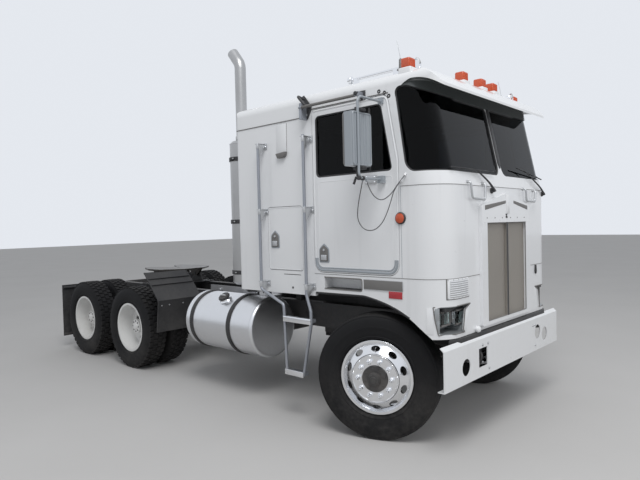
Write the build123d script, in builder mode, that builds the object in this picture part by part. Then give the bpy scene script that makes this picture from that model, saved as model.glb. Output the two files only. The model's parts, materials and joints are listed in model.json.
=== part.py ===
"""Cab-over-engine highway tractor unit with two drive axles and a sleeper cab.

Millimetres. +X is forward, +Y is left and +Z is up. The origin is on the ground, at the
middle of the vehicle's length and width. The cab faces forward and the front wheels stand
steered a little to the left, as the vehicle is parked.
"""

import os
from math import cos, radians, sin, tan

from build123d import *

os.makedirs("parts", exist_ok=True)

# Stations along the vehicle
overall_length = 6820
front_overhang = 790
first_drive_distance = 3986
drive_axle_spacing = 1321
cab_front_distance = 750
cab_back_distance = 1730

front_axle_x = overall_length / 2 - front_overhang
drive_axle_xs = (front_axle_x - first_drive_distance, front_axle_x - first_drive_distance - drive_axle_spacing)
bogie_x = sum(drive_axle_xs) / 2
cab_front_x = front_axle_x + cab_front_distance
cab_back_x = front_axle_x - cab_back_distance

# Wheels and axles
tyre_radius = 545
tyre_width = 280
rim_radius = 311
rim_flange_radius = 324
rim_half_width = 112
front_track_half = 1030
kingpin_y = 890
rest_steer_deg = 20
twin_centre_y = 908
twin_spacing = 343
spindle_radius = 40
kingpin_radius = 22
bearing_gap = 0.3

# Frame
rail_outer_y = 432
rail_top = 1010
rail_height = 267
rail_flange = 95
rail_wall = 9
rail_bottom = rail_top - rail_height
rail_front_x = front_axle_x + 545
rail_back_x = -overall_length / 2 + 40

# Cab shell
cab_half_width = 1120
cab_wall = 40
cab_front_corner = 250
cab_rear_corner = 60
cab_bottom = 1200
skirt_front_bottom = 930
skirt_side_bottom = 1235
skirt_top = 1412
cowl_height = 2170
roof_seam = 2886
door_seam = 2945
roof_side_height = 3110
roof_crown = 3160
windscreen_lean_deg = 12
visor_reach = 740
visor_lip = 2937
visor_corner = 100
floor_low = 1400
floor_high = 1430
cab_pivot = (front_axle_x + 660, 1050)
pivot_boss = 36
pivot_pin = 20

# Doors
door_back_x = front_axle_x - 605
door_front_x = front_axle_x + 338
door_bottom = 1430
door_top = 2935
door_gap = 5
luggage_back_x = front_axle_x - 1240
luggage_front_x = front_axle_x - 762
luggage_bottom = 1430
luggage_top = 2052

# Fuel tanks
tank_radius = 330
tank_y = 870
tank_z = 770
tank_front_x = front_axle_x - 1470
tank_back_x = front_axle_x - 2660

# Fifth wheel
coupling_x = front_axle_x - 4600
coupling_top = 1250
coupling_pivot_z = 1130
kingpin_bore = 25.5


def at(distance):
    """Place along the vehicle that lies this far ahead of the front axle."""
    return front_axle_x + distance


def outline(table):
    """Closed flat outline. Columns: across, up, corner radius."""
    with BuildSketch() as face:
        with BuildLine():
            Polyline(*[(across, up) for across, up, _ in table], close=True)
        make_face()
        for across, up, corner in table:
            if corner > 0:
                fillet(face.vertices().sort_by_distance((across, up))[0], corner)
    return face.sketch


def side_view(y=0):
    """Plane seen from the right-hand side: across is +X, up is +Z."""
    return Plane(origin=(0, y, 0), x_dir=(1, 0, 0), z_dir=(0, -1, 0))


def front_view(x=0):
    """Plane across the vehicle: across is +Y, up is +Z."""
    return Plane(origin=(x, 0, 0), x_dir=(0, 1, 0), z_dir=(1, 0, 0))


def block(x, y, z, mode=Mode.ADD):
    """Block between the low and high value of each pair."""
    with Locations(((x[0] + x[1]) / 2, (y[0] + y[1]) / 2, (z[0] + z[1]) / 2)):
        Box(x[1] - x[0], abs(y[1] - y[0]), z[1] - z[0], mode=mode)


def rod(start, end, radius, mode=Mode.ADD):
    """Round bar between two points."""
    along = Vector(*end) - Vector(*start)
    add(Solid.make_cylinder(radius, along.length, Plane(origin=start, z_dir=along)), mode=mode)


def bent_tube(points, bend, radius):
    """Round tube along straight runs joined by tangent arcs."""
    with BuildLine() as path:
        FilletPolyline(*points, radius=bend)
    with BuildSketch(Plane(origin=path.line @ 0, z_dir=path.line % 0)) as section:
        Circle(radius)
    sweep(sections=section.sketch, path=path.wire())


def clip(end, following, depth, radius):
    """Clip that a cord comes out of: a stub behind the cord's end, in line with its first run."""
    back = (Vector(*end) - Vector(*following)).normalized()
    rod(end, tuple(Vector(*end) + back * depth), radius)


def cord(name, points, radius):
    """Cord along a route; each corner's arc is as large as its two runs allow."""
    stops = [Vector(*point) for point in points]
    runs = [after - before for before, after in zip(stops, stops[1:])]
    bends = [
        0.45 * min(run.length, following.length) / tan(radians(run.get_angle(following) / 2))
        for run, following in zip(runs, runs[1:])
    ]
    print(name, "bend radii", [round(bend) for bend in bends])
    with BuildLine() as path:
        FilletPolyline(*points, radius=bends)
    with BuildSketch(Plane(origin=path.line @ 0, z_dir=path.line % 0)) as section:
        Circle(radius)
    sweep(sections=section.sketch, path=path.wire())


def prism(table, plane, amount, mode=Mode.ADD, both=False):
    """Outline of a table, drawn on a plane and pushed along its normal."""
    extrude(plane * outline(table), amount=amount, both=both, mode=mode)


def export(piece, name):
    """Write one finished piece under its own name."""
    piece.part.label = name
    export_step(piece.part, f"parts/{name}.step")


def both_sides():
    """Name and sign of each side; +Y is the left-hand side."""
    return (("right", -1), ("left", 1))


def outward(side, turn_deg=0.0):
    """Direction of a wheel's spindle, away from the vehicle."""
    turn = radians(turn_deg)
    return Vector(-sin(turn) * side, cos(turn) * side, 0)


def wheel_plane(centre, axle):
    """Plane through a wheel's axis: across is along the axle, up is the radius."""
    return Plane(origin=centre, x_dir=axle, z_dir=axle.cross(Vector(0, 0, 1)))


def turned(table, centre, axle, mode=Mode.ADD):
    """Ring turned about a wheel's axle. Columns: along the axle, radius, corner radius."""
    revolve(wheel_plane(centre, axle) * outline(table), axis=Axis(centre, axle), mode=mode)


# Columns: along the axle, radius, corner radius
tyre_table = [
    (-100, rim_radius + 0.2, 0),
    (100, rim_radius + 0.2, 0),
    (100, rim_flange_radius + 8, 0),
    (tyre_width / 2, 432, 60),
    (118, tyre_radius, 22),
    (-118, tyre_radius, 22),
    (-tyre_width / 2, 432, 60),
    (-100, rim_flange_radius + 8, 0),
]

# Barrel of a rim, the same on every wheel
rim_barrel = [
    (-rim_half_width, 300, 0),
    (rim_half_width, 300, 0),
    (rim_half_width, rim_flange_radius, 5),
    (100.2, rim_flange_radius, 5),
    (100.2, rim_radius, 0),
    (-100.2, rim_radius, 0),
    (-100.2, rim_flange_radius, 5),
    (-rim_half_width, rim_flange_radius, 5),
]

# Frame rails
rail_table = [
    (rail_outer_y, rail_top, 0),
    (rail_outer_y - rail_flange, rail_top, 0),
    (rail_outer_y - rail_flange, rail_top - rail_wall, 0),
    (rail_outer_y - rail_wall, rail_top - rail_wall, 0),
    (rail_outer_y - rail_wall, rail_bottom + rail_wall, 0),
    (rail_outer_y - rail_flange, rail_bottom + rail_wall, 0),
    (rail_outer_y - rail_flange, rail_bottom, 0),
    (rail_outer_y, rail_bottom, 0),
]
with BuildPart() as frame_rails:
    prism(rail_table, front_view(rail_back_x), rail_front_x - rail_back_x)
    mirror(about=Plane.XZ)
export(frame_rails, "frame_rails")

# Crossmembers sit between the rails. Columns: distance from the front axle, low, high
crossmember_table = [
    (455, 790, 960),
    (-1350, 790, 960),
    (-2250, 790, 960),
    (-3150, 790, 960),
    (-4646, 800, 985),
    (-5900, 780, 985),
]
web_y = rail_outer_y - rail_wall
with BuildPart() as crossmembers:
    for distance, low, high in crossmember_table:
        block((at(distance) - 30, at(distance) + 30), (-web_y, web_y), (low, high))
    hinge_y = rail_outer_y - rail_flange / 2
    for side in (-1, 1):
        # Front cab hinge: a bracket on the rail and its pin
        boss_low, boss_high = sorted((side * (hinge_y - 35), side * (hinge_y + 35)))
        block((rail_front_x - 90, cab_pivot[0]), (boss_low, boss_high), (rail_top, cab_pivot[1] + pivot_boss))
        rod((cab_pivot[0], boss_low, cab_pivot[1]), (cab_pivot[0], boss_high, cab_pivot[1]), pivot_boss)
        pin_end = side * (hinge_y + 95)
        rod((cab_pivot[0], side * hinge_y, cab_pivot[1]), (cab_pivot[0], pin_end, cab_pivot[1]), pivot_pin)
        # Rear cab rest
        block((at(-1570), at(-1490)), (side * hinge_y - 30, side * hinge_y + 30), (rail_top, floor_low - 6))
export(crossmembers, "crossmembers")

# Bumper
bumper_half_width = 1207
bumper_front_x = at(front_overhang)
bumper_low = 552
bumper_high = 873
bumper_sheet = 8
bumper_lamp_radius = 70
bumper_lamp_y = 850
bumper_lamp_z = 685
bumper_slot_y = (-629, -472)
bumper_slot_z = (634, 794)
left_hole = (665, 735, 72)
with BuildPart() as bumper:
    bumper_table = [
        (bumper_front_x, bumper_low, 0),
        (bumper_front_x, bumper_high, 0),
        (bumper_front_x - 32, bumper_high + 30, 0),
        (bumper_front_x - 38, bumper_high + 24, 0),
        (bumper_front_x - bumper_sheet, bumper_high - 3, 0),
        (bumper_front_x - bumper_sheet, bumper_low + bumper_sheet, 0),
        (bumper_front_x - 60, bumper_low + bumper_sheet, 0),
        (bumper_front_x - 60, bumper_low, 0),
    ]
    prism(bumper_table, side_view(), bumper_half_width, both=True)
    for side in (-1, 1):
        arm_low, arm_high = sorted((side * (web_y - 70), side * web_y))
        block((rail_front_x - 50, bumper_front_x - bumper_sheet), (arm_low, arm_high), (770, 865))
    for lamp_y in (-bumper_lamp_y, bumper_lamp_y):
        hole_start = (bumper_front_x - 40, lamp_y, bumper_lamp_z)
        hole_end = (bumper_front_x + 40, lamp_y, bumper_lamp_z)
        rod(hole_start, hole_end, bumper_lamp_radius, Mode.SUBTRACT)
    hole_y, hole_z, hole_radius = left_hole
    rod((bumper_front_x - 40, hole_y, hole_z), (bumper_front_x + 40, hole_y, hole_z), hole_radius, Mode.SUBTRACT)
    block((bumper_front_x - 40, bumper_front_x + 40), bumper_slot_y, bumper_slot_z, Mode.SUBTRACT)
export(bumper, "bumper")

# Engine and gearbox, one plain mass
engine_half = 300
gearbox_back_x = at(-1300)
shaft_z = 715
with BuildPart() as engine_block:
    block((at(-750), at(420)), (-engine_half, engine_half), (765, 1800))
    block((gearbox_back_x, at(-750)), (-230, 230), (shaft_z - 75, 1250))
    for distance in (260, -640):
        block((at(distance) - 60, at(distance) + 60), (-web_y, web_y), (770, 990))
export(engine_block, "engine_block")

# Radiator between the rails, behind the grille
with BuildPart() as radiator:
    block((at(470), at(560)), (-330, 330), (960, 1850))
export(radiator, "radiator")

# Front axle beam. Columns: across, up, corner radius
axle_half = kingpin_y - 46
axle_table = [
    (-axle_half, 592, 0),
    (-700, 585, 60),
    (-590, 500, 60),
    (590, 500, 60),
    (700, 585, 60),
    (axle_half, 592, 0),
    (axle_half, 498, 0),
    (730, 490, 60),
    (610, 405, 60),
    (-610, 405, 60),
    (-730, 490, 60),
    (-axle_half, 498, 0),
]
with BuildPart() as front_axle:
    prism(axle_table, front_view(front_axle_x), 50, both=True)
    for side in (-1, 1):
        rod((front_axle_x, side * kingpin_y, 495), (front_axle_x, side * kingpin_y, 595), 48)
        bore = kingpin_radius + bearing_gap
        rod((front_axle_x, side * kingpin_y, 480), (front_axle_x, side * kingpin_y, 610), bore, Mode.SUBTRACT)
export(front_axle, "front_axle")

# Front springs: a leaf pack on the axle with a hanger at each end
spring_table = [
    (at(-640), 610, 0),
    (at(-120), 520, 0),
    (at(-120), 500, 0),
    (at(120), 500, 0),
    (at(120), 520, 0),
    (at(560), 610, 0),
    (at(560), 632, 0),
    (at(120), 572, 0),
    (at(-120), 572, 0),
    (at(-640), 632, 0),
]
with BuildPart() as leaf_springs:
    for side in (-1, 1):
        prism(spring_table, side_view(side * 390), 40, both=True)
        block((at(500), at(560)), (side * 390 - 40, side * 390 + 40), (605, rail_bottom))
        block((at(-640), at(-580)), (side * 390 - 40, side * 390 + 40), (605, rail_bottom))
export(leaf_springs, "leaf_springs")

# Steering knuckles, each built about its kingpin and turned to the parked steering angle
arm_reach = 200
arm_half = 18
arm_z = 455
yoke_inner = 50
yoke_outer = 75


def arm_end(side):
    """Ball of a steering arm, straight behind its kingpin and turned with the knuckle."""
    turn = radians(rest_steer_deg)
    return (front_axle_x - arm_reach * cos(turn), side * kingpin_y - arm_reach * sin(turn))


for name, side in both_sides():
    turned_plane = Plane(
        origin=(front_axle_x, side * kingpin_y, 0),
        x_dir=(cos(radians(rest_steer_deg)), sin(radians(rest_steer_deg)), 0),
        z_dir=(0, 0, 1),
    )
    with BuildPart(turned_plane) as knuckle:
        with Locations((0, 0, 545)):
            Cylinder(kingpin_radius, 200)
        yoke = sorted((-side * yoke_inner, side * yoke_outer))
        block((-45, 45), yoke, (602, 645))
        block((-45, 45), yoke, (440, 488))
        block((-45, 45), sorted((side * (yoke_outer - 20), side * yoke_outer)), (440, 645))
        block((-arm_reach, -40), (-arm_half, arm_half), (440, 470))
        ball_gap = bearing_gap if side < 0 else 2 * bearing_gap
        with Locations((-arm_reach, 0, arm_z)):
            Cylinder(30, 30)
        with Locations((-arm_reach, 0, arm_z)):
            Cylinder(15 + ball_gap, 60, mode=Mode.SUBTRACT)
        with Locations(Location((0, side * 140, tyre_radius), (90, 0, 0))):
            Cylinder(spindle_radius, 140)
    export(knuckle, f"{name}_knuckle")

with BuildPart() as tie_rod:
    right_end, left_end = arm_end(-1), arm_end(1)
    for x, y in (right_end, left_end):
        rod((x, y, 402), (x, y, 434), 26)
        rod((x, y, 434), (x, y, 478), 15)
    rod((right_end[0], right_end[1] + 10, 418), (left_end[0], left_end[1] - 10, 418), 18)
export(tie_rod, "tie_rod")

# Front wheels: an alloy disc that bulges past the rim, with ten hand holes, and its hub and brake drum
disc_face = 150
disc_thickness = 22
hub_radius = 106
front_disc = [
    (disc_face, hub_radius + bearing_gap, 0),
    (disc_face, 204, 12),
    (96, 286, 12),
    (90, 301, 0),
    (90 - disc_thickness, 301, 0),
    (96 - disc_thickness, 278, 12),
    (disc_face - disc_thickness, 194, 12),
    (disc_face - disc_thickness, hub_radius + bearing_gap, 0),
]
front_hub = [
    (-62, spindle_radius + bearing_gap, 0),
    (104, spindle_radius + bearing_gap, 0),
    (104, 0.1, 0),
    (disc_face + 44, 0.1, 0),
    (disc_face + 44, 46, 8),
    (disc_face + 12, 58, 0),
    (disc_face + 12, 70, 0),
    (disc_face + 4, hub_radius, 4),
    (disc_face - disc_thickness, hub_radius, 0),
    (disc_face - disc_thickness, 168, 0),
    (disc_face - disc_thickness - 14, 168, 0),
    (disc_face - disc_thickness - 30, 100, 0),
    (-62, 72, 0),
]
brake_drum = [
    (-90, 196, 0),
    (-12, 196, 0),
    (-12, 70, 0),
    (2, 70, 0),
    (2, 210, 0),
    (-90, 210, 0),
]
hand_holes = 10
hand_hole_circle = 252
hand_hole_half = (23, 40)
for name, side in both_sides():
    axle = outward(side, rest_steer_deg)
    hub_offset = front_track_half - kingpin_y
    centre = Vector(front_axle_x, side * kingpin_y, tyre_radius) + axle * hub_offset
    face = Plane(origin=centre, x_dir=(0, 0, 1), z_dir=axle)
    with BuildPart() as tyre:
        turned(tyre_table, centre, axle)
    export(tyre, f"{name}_front_tyre")
    with BuildPart() as rim:
        turned(rim_barrel, centre, axle)
        turned(front_disc, centre, axle)
        with BuildSketch(face) as holes:
            with PolarLocations(hand_hole_circle, hand_holes):
                Ellipse(*hand_hole_half)
        extrude(holes.sketch, amount=disc_face, mode=Mode.SUBTRACT)
    export(rim, f"{name}_front_rim")
    with BuildPart() as hub:
        turned(front_hub, centre, axle)
        turned(brake_drum, centre, axle)
    export(hub, f"{name}_front_hub")

# Drive axles and the shafts that turn them
with BuildPart() as drive_axles:
    for x in drive_axle_xs:
        rod((x, -620, tyre_radius), (x, 620, tyre_radius), 62)
        rod((x, -twin_centre_y - 160, tyre_radius), (x, twin_centre_y + 160, tyre_radius), spindle_radius)
        with Locations((x, 0, tyre_radius)):
            Sphere(190)
        rod((x, 0, tyre_radius + 30), (x + 300, 0, tyre_radius + 30), 80)
    rod((drive_axle_xs[0] + 300, 0, tyre_radius + 30), (gearbox_back_x - 15, 0, shaft_z), 50)
    rod((gearbox_back_x - 30, 0, shaft_z), (gearbox_back_x, 0, shaft_z), 75)
    rod((drive_axle_xs[1] + 300, 0, tyre_radius + 30), (drive_axle_xs[0] - 150, 0, tyre_radius), 45)
export(drive_axles, "drive_axles")

# Walking beams under the axles, hung from a saddle on each rail
beam_top = tyre_radius - 62
with BuildPart() as drive_suspension:
    for side in (-1, 1):
        low_y, high_y = sorted((side * 470, side * 550))
        block((drive_axle_xs[1] - 70, drive_axle_xs[0] + 70), (low_y, high_y), (beam_top - 80, beam_top - 0.2))
        inner_y, outer_y = sorted((side * rail_outer_y, side * 550))
        block((bogie_x - 110, bogie_x + 110), (inner_y, outer_y), (beam_top - 1, 940))
export(drive_suspension, "drive_suspension")

# Drive wheels: a pair of tyres on two dished rims, with one hub
twin_disc = [
    (-9, 60, 0),
    (9, 60, 0),
    (9, 150, 0),
    (9, 190, 0),
    (62, 280, 0),
    (62, 301, 0),
    (44, 301, 0),
    (44, 284, 0),
    (-9, 196, 0),
]
twin_hub = [
    (-210, spindle_radius + bearing_gap, 0),
    (170, spindle_radius + bearing_gap, 0),
    (170, 0.1, 0),
    (182, 0.1, 0),
    (182, 88, 6),
    (9, 105, 0),
    (9, 140, 0),
    (-9, 140, 0),
    (-9, 105, 0),
    (-210, 90, 0),
]
twin_hole_circle = 236
twin_hole_half = (22, 30)
axle_names = ("front_drive", "rear_drive")
for axle_name, x in zip(axle_names, drive_axle_xs):
    for name, side in both_sides():
        axle = outward(side)
        middle = Vector(x, side * twin_centre_y, tyre_radius)
        inner = middle - axle * (twin_spacing / 2)
        outer = middle + axle * (twin_spacing / 2)
        with BuildPart() as tyres:
            turned(tyre_table, inner, axle)
            turned(tyre_table, outer, axle)
        export(tyres, f"{name}_{axle_name}_tyres")
        with BuildPart() as rims:
            turned(rim_barrel, inner, axle)
            turned(rim_barrel, outer, axle)
            turned(twin_disc, middle, axle)
            turned(twin_disc, middle, -axle)
            turned(twin_hub, middle, axle)
            with BuildSketch(Plane(origin=middle, x_dir=(0, 0, 1), z_dir=axle)) as holes:
                with PolarLocations(twin_hole_circle, hand_holes):
                    Ellipse(*twin_hole_half)
            extrude(holes.sketch, amount=rim_half_width, both=True, mode=Mode.SUBTRACT)
        export(rims, f"{name}_{axle_name}_rims")

# Fuel tanks on brackets, with two straps each
strap_places = (-1850, -2525)
filler_x = at(-2060)
with BuildPart() as fuel_tanks:
    for side in (-1, 1):
        rod((tank_back_x, side * tank_y, tank_z), (tank_front_x, side * tank_y, tank_z), tank_radius)
    fillet(fuel_tanks.edges().filter_by(GeomType.CIRCLE), 35)
    for side in (-1, 1):
        rise = radians(57)
        foot = (filler_x, side * (tank_y + 300 * cos(rise)), tank_z + 300 * sin(rise))
        tip = (filler_x, side * (tank_y + 372 * cos(rise)), tank_z + 372 * sin(rise))
        rod(foot, tip, 52)
export(fuel_tanks, "fuel_tanks")

strap_radius = tank_radius + 7
with BuildPart() as tank_straps:
    for side in (-1, 1):
        for distance in strap_places:
            x = at(distance)
            low_y, high_y = sorted((side * rail_outer_y, side * (tank_y - 120)))
            block((x - 35, x + 35), (low_y, high_y), (tank_z - tank_radius - 20, 1000))
            rod((x - 30, side * tank_y, tank_z), (x + 30, side * tank_y, tank_z), strap_radius)
    for side in (-1, 1):
        rod((at(-2700), side * tank_y, tank_z), (at(-1400), side * tank_y, tank_z), tank_radius + 0.2, Mode.SUBTRACT)
export(tank_straps, "tank_straps")

# Exhaust behind the right-hand side of the cab
exhaust_x = at(-1950)
exhaust_y = -840
stack_radius = 63
muffler_radius = 142
muffler_low = 1215
pipe_radius = 45
pipe_z = 1150
muffler_high = 2830
stack_points = [
    (exhaust_x, exhaust_y, muffler_high - 40),
    (exhaust_x, exhaust_y, 3700),
    (exhaust_x - 120, exhaust_y, 3850),
]
pipe_points = [
    (exhaust_x, exhaust_y, muffler_low + 20),
    (exhaust_x, exhaust_y, pipe_z),
    (exhaust_x, -180, pipe_z),
    (gearbox_back_x, -180, pipe_z),
]
with BuildPart() as exhaust_stack:
    rod((exhaust_x, exhaust_y, muffler_low), (exhaust_x, exhaust_y, muffler_high), muffler_radius)
    chamfer(exhaust_stack.edges().filter_by(GeomType.CIRCLE), 30)
    with BuildLine() as stack_path:
        FilletPolyline(*stack_points, radius=140)
    with BuildSketch(Plane(origin=stack_points[0])) as stack_section:
        Circle(stack_radius)
        Circle(stack_radius - 4, mode=Mode.SUBTRACT)
    sweep(sections=stack_section.sketch, path=stack_path.wire())
    bent_tube(pipe_points, 60, pipe_radius)
    post_y = (-610, -550)
    block((exhaust_x - 50, exhaust_x + 50), (post_y[0], -rail_outer_y + rail_flange), (rail_top, rail_top + 30))
    block((exhaust_x + 60, exhaust_x + 110), post_y, (rail_top, 2720))
    block((exhaust_x + 40, exhaust_x + 110), post_y, (rail_top, rail_top + 30))
    for clamp_z in (1330, 1900, 2600):
        rod((exhaust_x, exhaust_y, clamp_z), (exhaust_x, exhaust_y, clamp_z + 50), muffler_radius + 6)
        block((exhaust_x, exhaust_x + 100), (-760, post_y[1]), (clamp_z, clamp_z + 50))
export(exhaust_stack, "exhaust_stack")

# Deck plate behind the cab
with BuildPart() as deck_plate:
    block((at(-3000), at(-2120)), (-560, 560), (rail_top, rail_top + 8))
    for side in (-1, 1):
        low_y, high_y = sorted((side * 552, side * 560))
        block((at(-3000), at(-2120)), (low_y, high_y), (rail_top, 1120))
export(deck_plate, "deck_plate")

# Guards ahead of the drive tyres and flaps behind them
guard_table = [
    (at(-3252), 560, 0),
    (at(-3200), 960, 0),
    (at(-3366), 1140, 0),
    (at(-3520), 1290, 0),
    (at(-3516), 1296, 0),
    (at(-3360), 1146, 0),
    (at(-3192), 964, 0),
    (at(-3244), 560, 0),
]
guard_rod_x = at(-3224.7)
guard_inner_y = 590
guard_outer_y = 1220
flap_x = -overall_length / 2
with BuildPart() as mud_guards:
    for side in (-1, 1):
        middle_y = side * (guard_inner_y + guard_outer_y) / 2
        prism(guard_table, side_view(middle_y), (guard_outer_y - guard_inner_y) / 2, both=True)
        rod((guard_rod_x, side * rail_outer_y, 900), (guard_rod_x, side * (guard_outer_y - 20), 900), 17)
        low_y, high_y = sorted((side * guard_inner_y, side * guard_outer_y))
        block((flap_x, flap_x + 8), (low_y, high_y), (190, 1000))
        rod((flap_x + 26, side * rail_outer_y, 960), (flap_x + 26, side * (guard_outer_y - 10), 960), 18.2)
export(mud_guards, "mud_guards")

with BuildPart() as tail_lamps:
    for side in (-1, 1):
        for lamp_y in (200, 310):
            low_y, high_y = sorted((side * (lamp_y - 45), side * (lamp_y + 45)))
            block((at(-5950), at(-5930)), (low_y, high_y), (830, 930))
export(tail_lamps, "tail_lamps")

# Fifth wheel: a bracket on the rails and a plate that rocks on it
with BuildPart() as fifth_wheel_bracket:
    for side in (-1, 1):
        low_y, high_y = sorted((side * (rail_outer_y - rail_flange), side * (rail_outer_y + 8)))
        block((coupling_x - 330, coupling_x + 330), (low_y, high_y), (rail_top, rail_top + 12))
        ear_low, ear_high = sorted((side * 345, side * 375))
        ear_table = [
            (coupling_x - 160, rail_top, 0),
            (coupling_x - 40, coupling_pivot_z + 30, 30),
            (coupling_x + 40, coupling_pivot_z + 30, 30),
            (coupling_x + 160, rail_top, 0),
        ]
        prism(ear_table, side_view((ear_low + ear_high) / 2), 15, both=True)
        rod((coupling_x, side * 300, coupling_pivot_z), (coupling_x, side * 375, coupling_pivot_z), 25)
    block((coupling_x - 260, coupling_x - 200), (-345, 345), (rail_top, rail_top + 12))
    block((coupling_x + 200, coupling_x + 260), (-345, 345), (rail_top, rail_top + 12))
export(fifth_wheel_bracket, "fifth_wheel_bracket")

throat_back_x = coupling_x - 440
coupling_table = [
    (coupling_x + 430, -180, 150),
    (coupling_x + 430, 180, 150),
    (coupling_x + 200, 457, 150),
    (coupling_x - 120, 457, 60),
    (throat_back_x, 330, 40),
    (throat_back_x, 210, 20),
    (coupling_x - 130, 70, 0),
    (coupling_x - 130, -70, 0),
    (throat_back_x, -210, 20),
    (throat_back_x, -330, 40),
    (coupling_x - 120, -457, 60),
    (coupling_x + 200, -457, 150),
]
plate_thickness = 22
with BuildPart() as fifth_wheel_plate:
    extrude(Plane.XY.offset(coupling_top - plate_thickness) * outline(coupling_table), amount=plate_thickness)
    block((coupling_x - 110, coupling_x + 120), (-130, 130), (coupling_top - 80, coupling_top - plate_thickness))
    for side in (-1, 1):
        ear_low, ear_high = sorted((side * 305, side * 335))
        plate_ear = [
            (coupling_x - 200, coupling_top - plate_thickness, 0),
            (coupling_x - 45, coupling_pivot_z - 40, 30),
            (coupling_x + 45, coupling_pivot_z - 40, 30),
            (coupling_x + 200, coupling_top - plate_thickness, 0),
        ]
        prism(plate_ear, side_view((ear_low + ear_high) / 2), 15, both=True)
        bore_start = (coupling_x, side * 280, coupling_pivot_z)
        bore_end = (coupling_x, side * 345, coupling_pivot_z)
        rod(bore_start, bore_end, 25 + bearing_gap, Mode.SUBTRACT)
    rod((coupling_x, 0, coupling_top - 100), (coupling_x, 0, coupling_top + 20), kingpin_bore, Mode.SUBTRACT)
export(fifth_wheel_plate, "fifth_wheel_plate")


def cab_plan(front_x, inset, corner=cab_front_corner):
    """Plan of the cab at one height. The walls are upright but the front may lean."""
    half = cab_half_width - inset
    front = corner - inset
    rear = max(cab_rear_corner - inset, 5)
    back_x = cab_back_x + inset
    return outline(
        [
            (front_x - inset, -half, front),
            (front_x - inset, half, front),
            (back_x, half, rear),
            (back_x, -half, rear),
        ]
    )


def leaned_front(height):
    """Front of the cab at a height above the cowl, on the windscreen's slope."""
    return cab_front_x - (height - cowl_height) * tan(radians(windscreen_lean_deg))


def cab_volume(inset, low, high):
    """Upright cab up to the cowl and its leaning windscreen part above."""
    with BuildPart() as volume:
        extrude(Plane.XY.offset(low) * cab_plan(cab_front_x, inset), amount=cowl_height - low)
        sections = [Plane.XY.offset(z) * cab_plan(leaned_front(z), inset) for z in (cowl_height, high)]
        loft(sections, ruled=True)
    return volume.part


def roof_block(inset, corner=visor_corner):
    """Roof cap with its rounded sides, its rounded rear and the visor over the windscreen."""
    back_x = cab_back_x + inset
    lip_x = at(visor_reach) - inset
    crown = roof_crown - inset
    rear_top = roof_side_height - inset
    half = cab_half_width - inset
    with BuildPart() as roof:
        extrude(Plane.XY.offset(roof_seam - 60) * cab_plan(at(visor_reach), inset, corner), amount=400)
        with BuildSketch(side_view()) as side_profile:
            with BuildLine():
                Polyline((lip_x, roof_seam - 80), (back_x, roof_seam - 80), (back_x, rear_top), (at(330), crown))
                ThreePointArc((at(330), crown), (at(600) - inset, crown - 75), (lip_x, visor_lip + 22 - inset))
                Line((lip_x, visor_lip + 22 - inset), (lip_x, roof_seam - 80))
            make_face()
            fillet(side_profile.vertices().sort_by_distance((back_x, rear_top))[0], max(60 - inset, 8))
        extrude(side_profile.sketch, amount=1500, both=True, mode=Mode.INTERSECT)
        with BuildSketch(front_view()) as front_profile:
            with BuildLine():
                Polyline((-half, rear_top - 10), (-half, roof_seam - 90), (half, roof_seam - 90), (half, rear_top - 10))
                ThreePointArc((half, rear_top - 10), (0, crown), (-half, rear_top - 10))
            make_face()
            fillet(front_profile.vertices().group_by(Axis.Y)[-1], 95 - inset)
        extrude(front_profile.sketch, amount=5000, both=True, mode=Mode.INTERSECT)
    return roof.part


# Two cords hang between the right-hand mirror and the cab. Columns: x, y, z
cord_radius = 4
clip_radius = 9
clip_depth = 24
mirror_tube_radius = 10
mirror_x = at(190)
mirror_low = 2235
mirror_high = 2885
cord_top = mirror_low - mirror_tube_radius - 12
short_cord = [
    (mirror_x, -1340, cord_top),
    (at(200), -1306, 2116),
    (at(268), -1262, 2046),
    (at(342), -1226, 2096),
    (at(390), -1190, 2186),
    (at(416), -1134, 2252),
]
long_cord = [
    (mirror_x - 8, -1385, cord_top),
    (at(132), -1358, 2112),
    (at(84), -1330, 2006),
    (at(56), -1304, 1903),
    (at(100), -1278, 1818),
    (at(190), -1256, 1808),
    (at(262), -1238, 1868),
    (at(305), -1222, 1962),
    (at(333), -1206, 2058),
    (at(350), -1184, 2146),
    (at(372), -1134, 2204),
]
cords = (("short_mirror_cord", short_cord), ("long_mirror_cord", long_cord))

# Side outlines that part the shell into panels, as across, up from the right-hand side
skirt_back_x = at(-612)
front_seam_x = at(366)
clear_x = at(900)
arch_back = (at(-30), skirt_side_bottom + 5)
arch_middle = (at(320), 1145)
arch_front = (at(620), skirt_front_bottom)
with BuildSketch(side_view()) as front_zone:
    with BuildLine():
        Polyline(arch_front, (clear_x, skirt_front_bottom), (clear_x, cowl_height), (front_seam_x, cowl_height))
        Polyline((front_seam_x, cowl_height), (front_seam_x, skirt_top), (skirt_back_x, skirt_top))
        Polyline((skirt_back_x, skirt_top), (skirt_back_x, skirt_side_bottom), arch_back)
        ThreePointArc(arch_back, arch_middle, arch_front)
    make_face()
roof_zone_table = [
    (cab_back_x - 100, roof_seam, 0),
    (door_back_x - 14, roof_seam, 0),
    (door_back_x - 6, door_seam, 0),
    (at(262), door_seam, 0),
    (at(322), 2905, 0),
    (clear_x, 2905, 0),
    (clear_x, roof_crown + 200, 0),
    (cab_back_x - 100, roof_crown + 200, 0),
]
with BuildSketch(side_view()) as visor_zone:
    with BuildLine():
        ThreePointArc((at(330), 2925), (at(390), 2986), (at(480), 3026))
        ThreePointArc((at(480), 3026), (at(612), 3004), (at(visor_reach), visor_lip))
        Polyline((at(visor_reach), visor_lip), (clear_x, visor_lip), (clear_x, roof_crown + 200))
        Polyline((clear_x, roof_crown + 200), (at(330), roof_crown + 200), (at(330), 2925))
    make_face()

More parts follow.
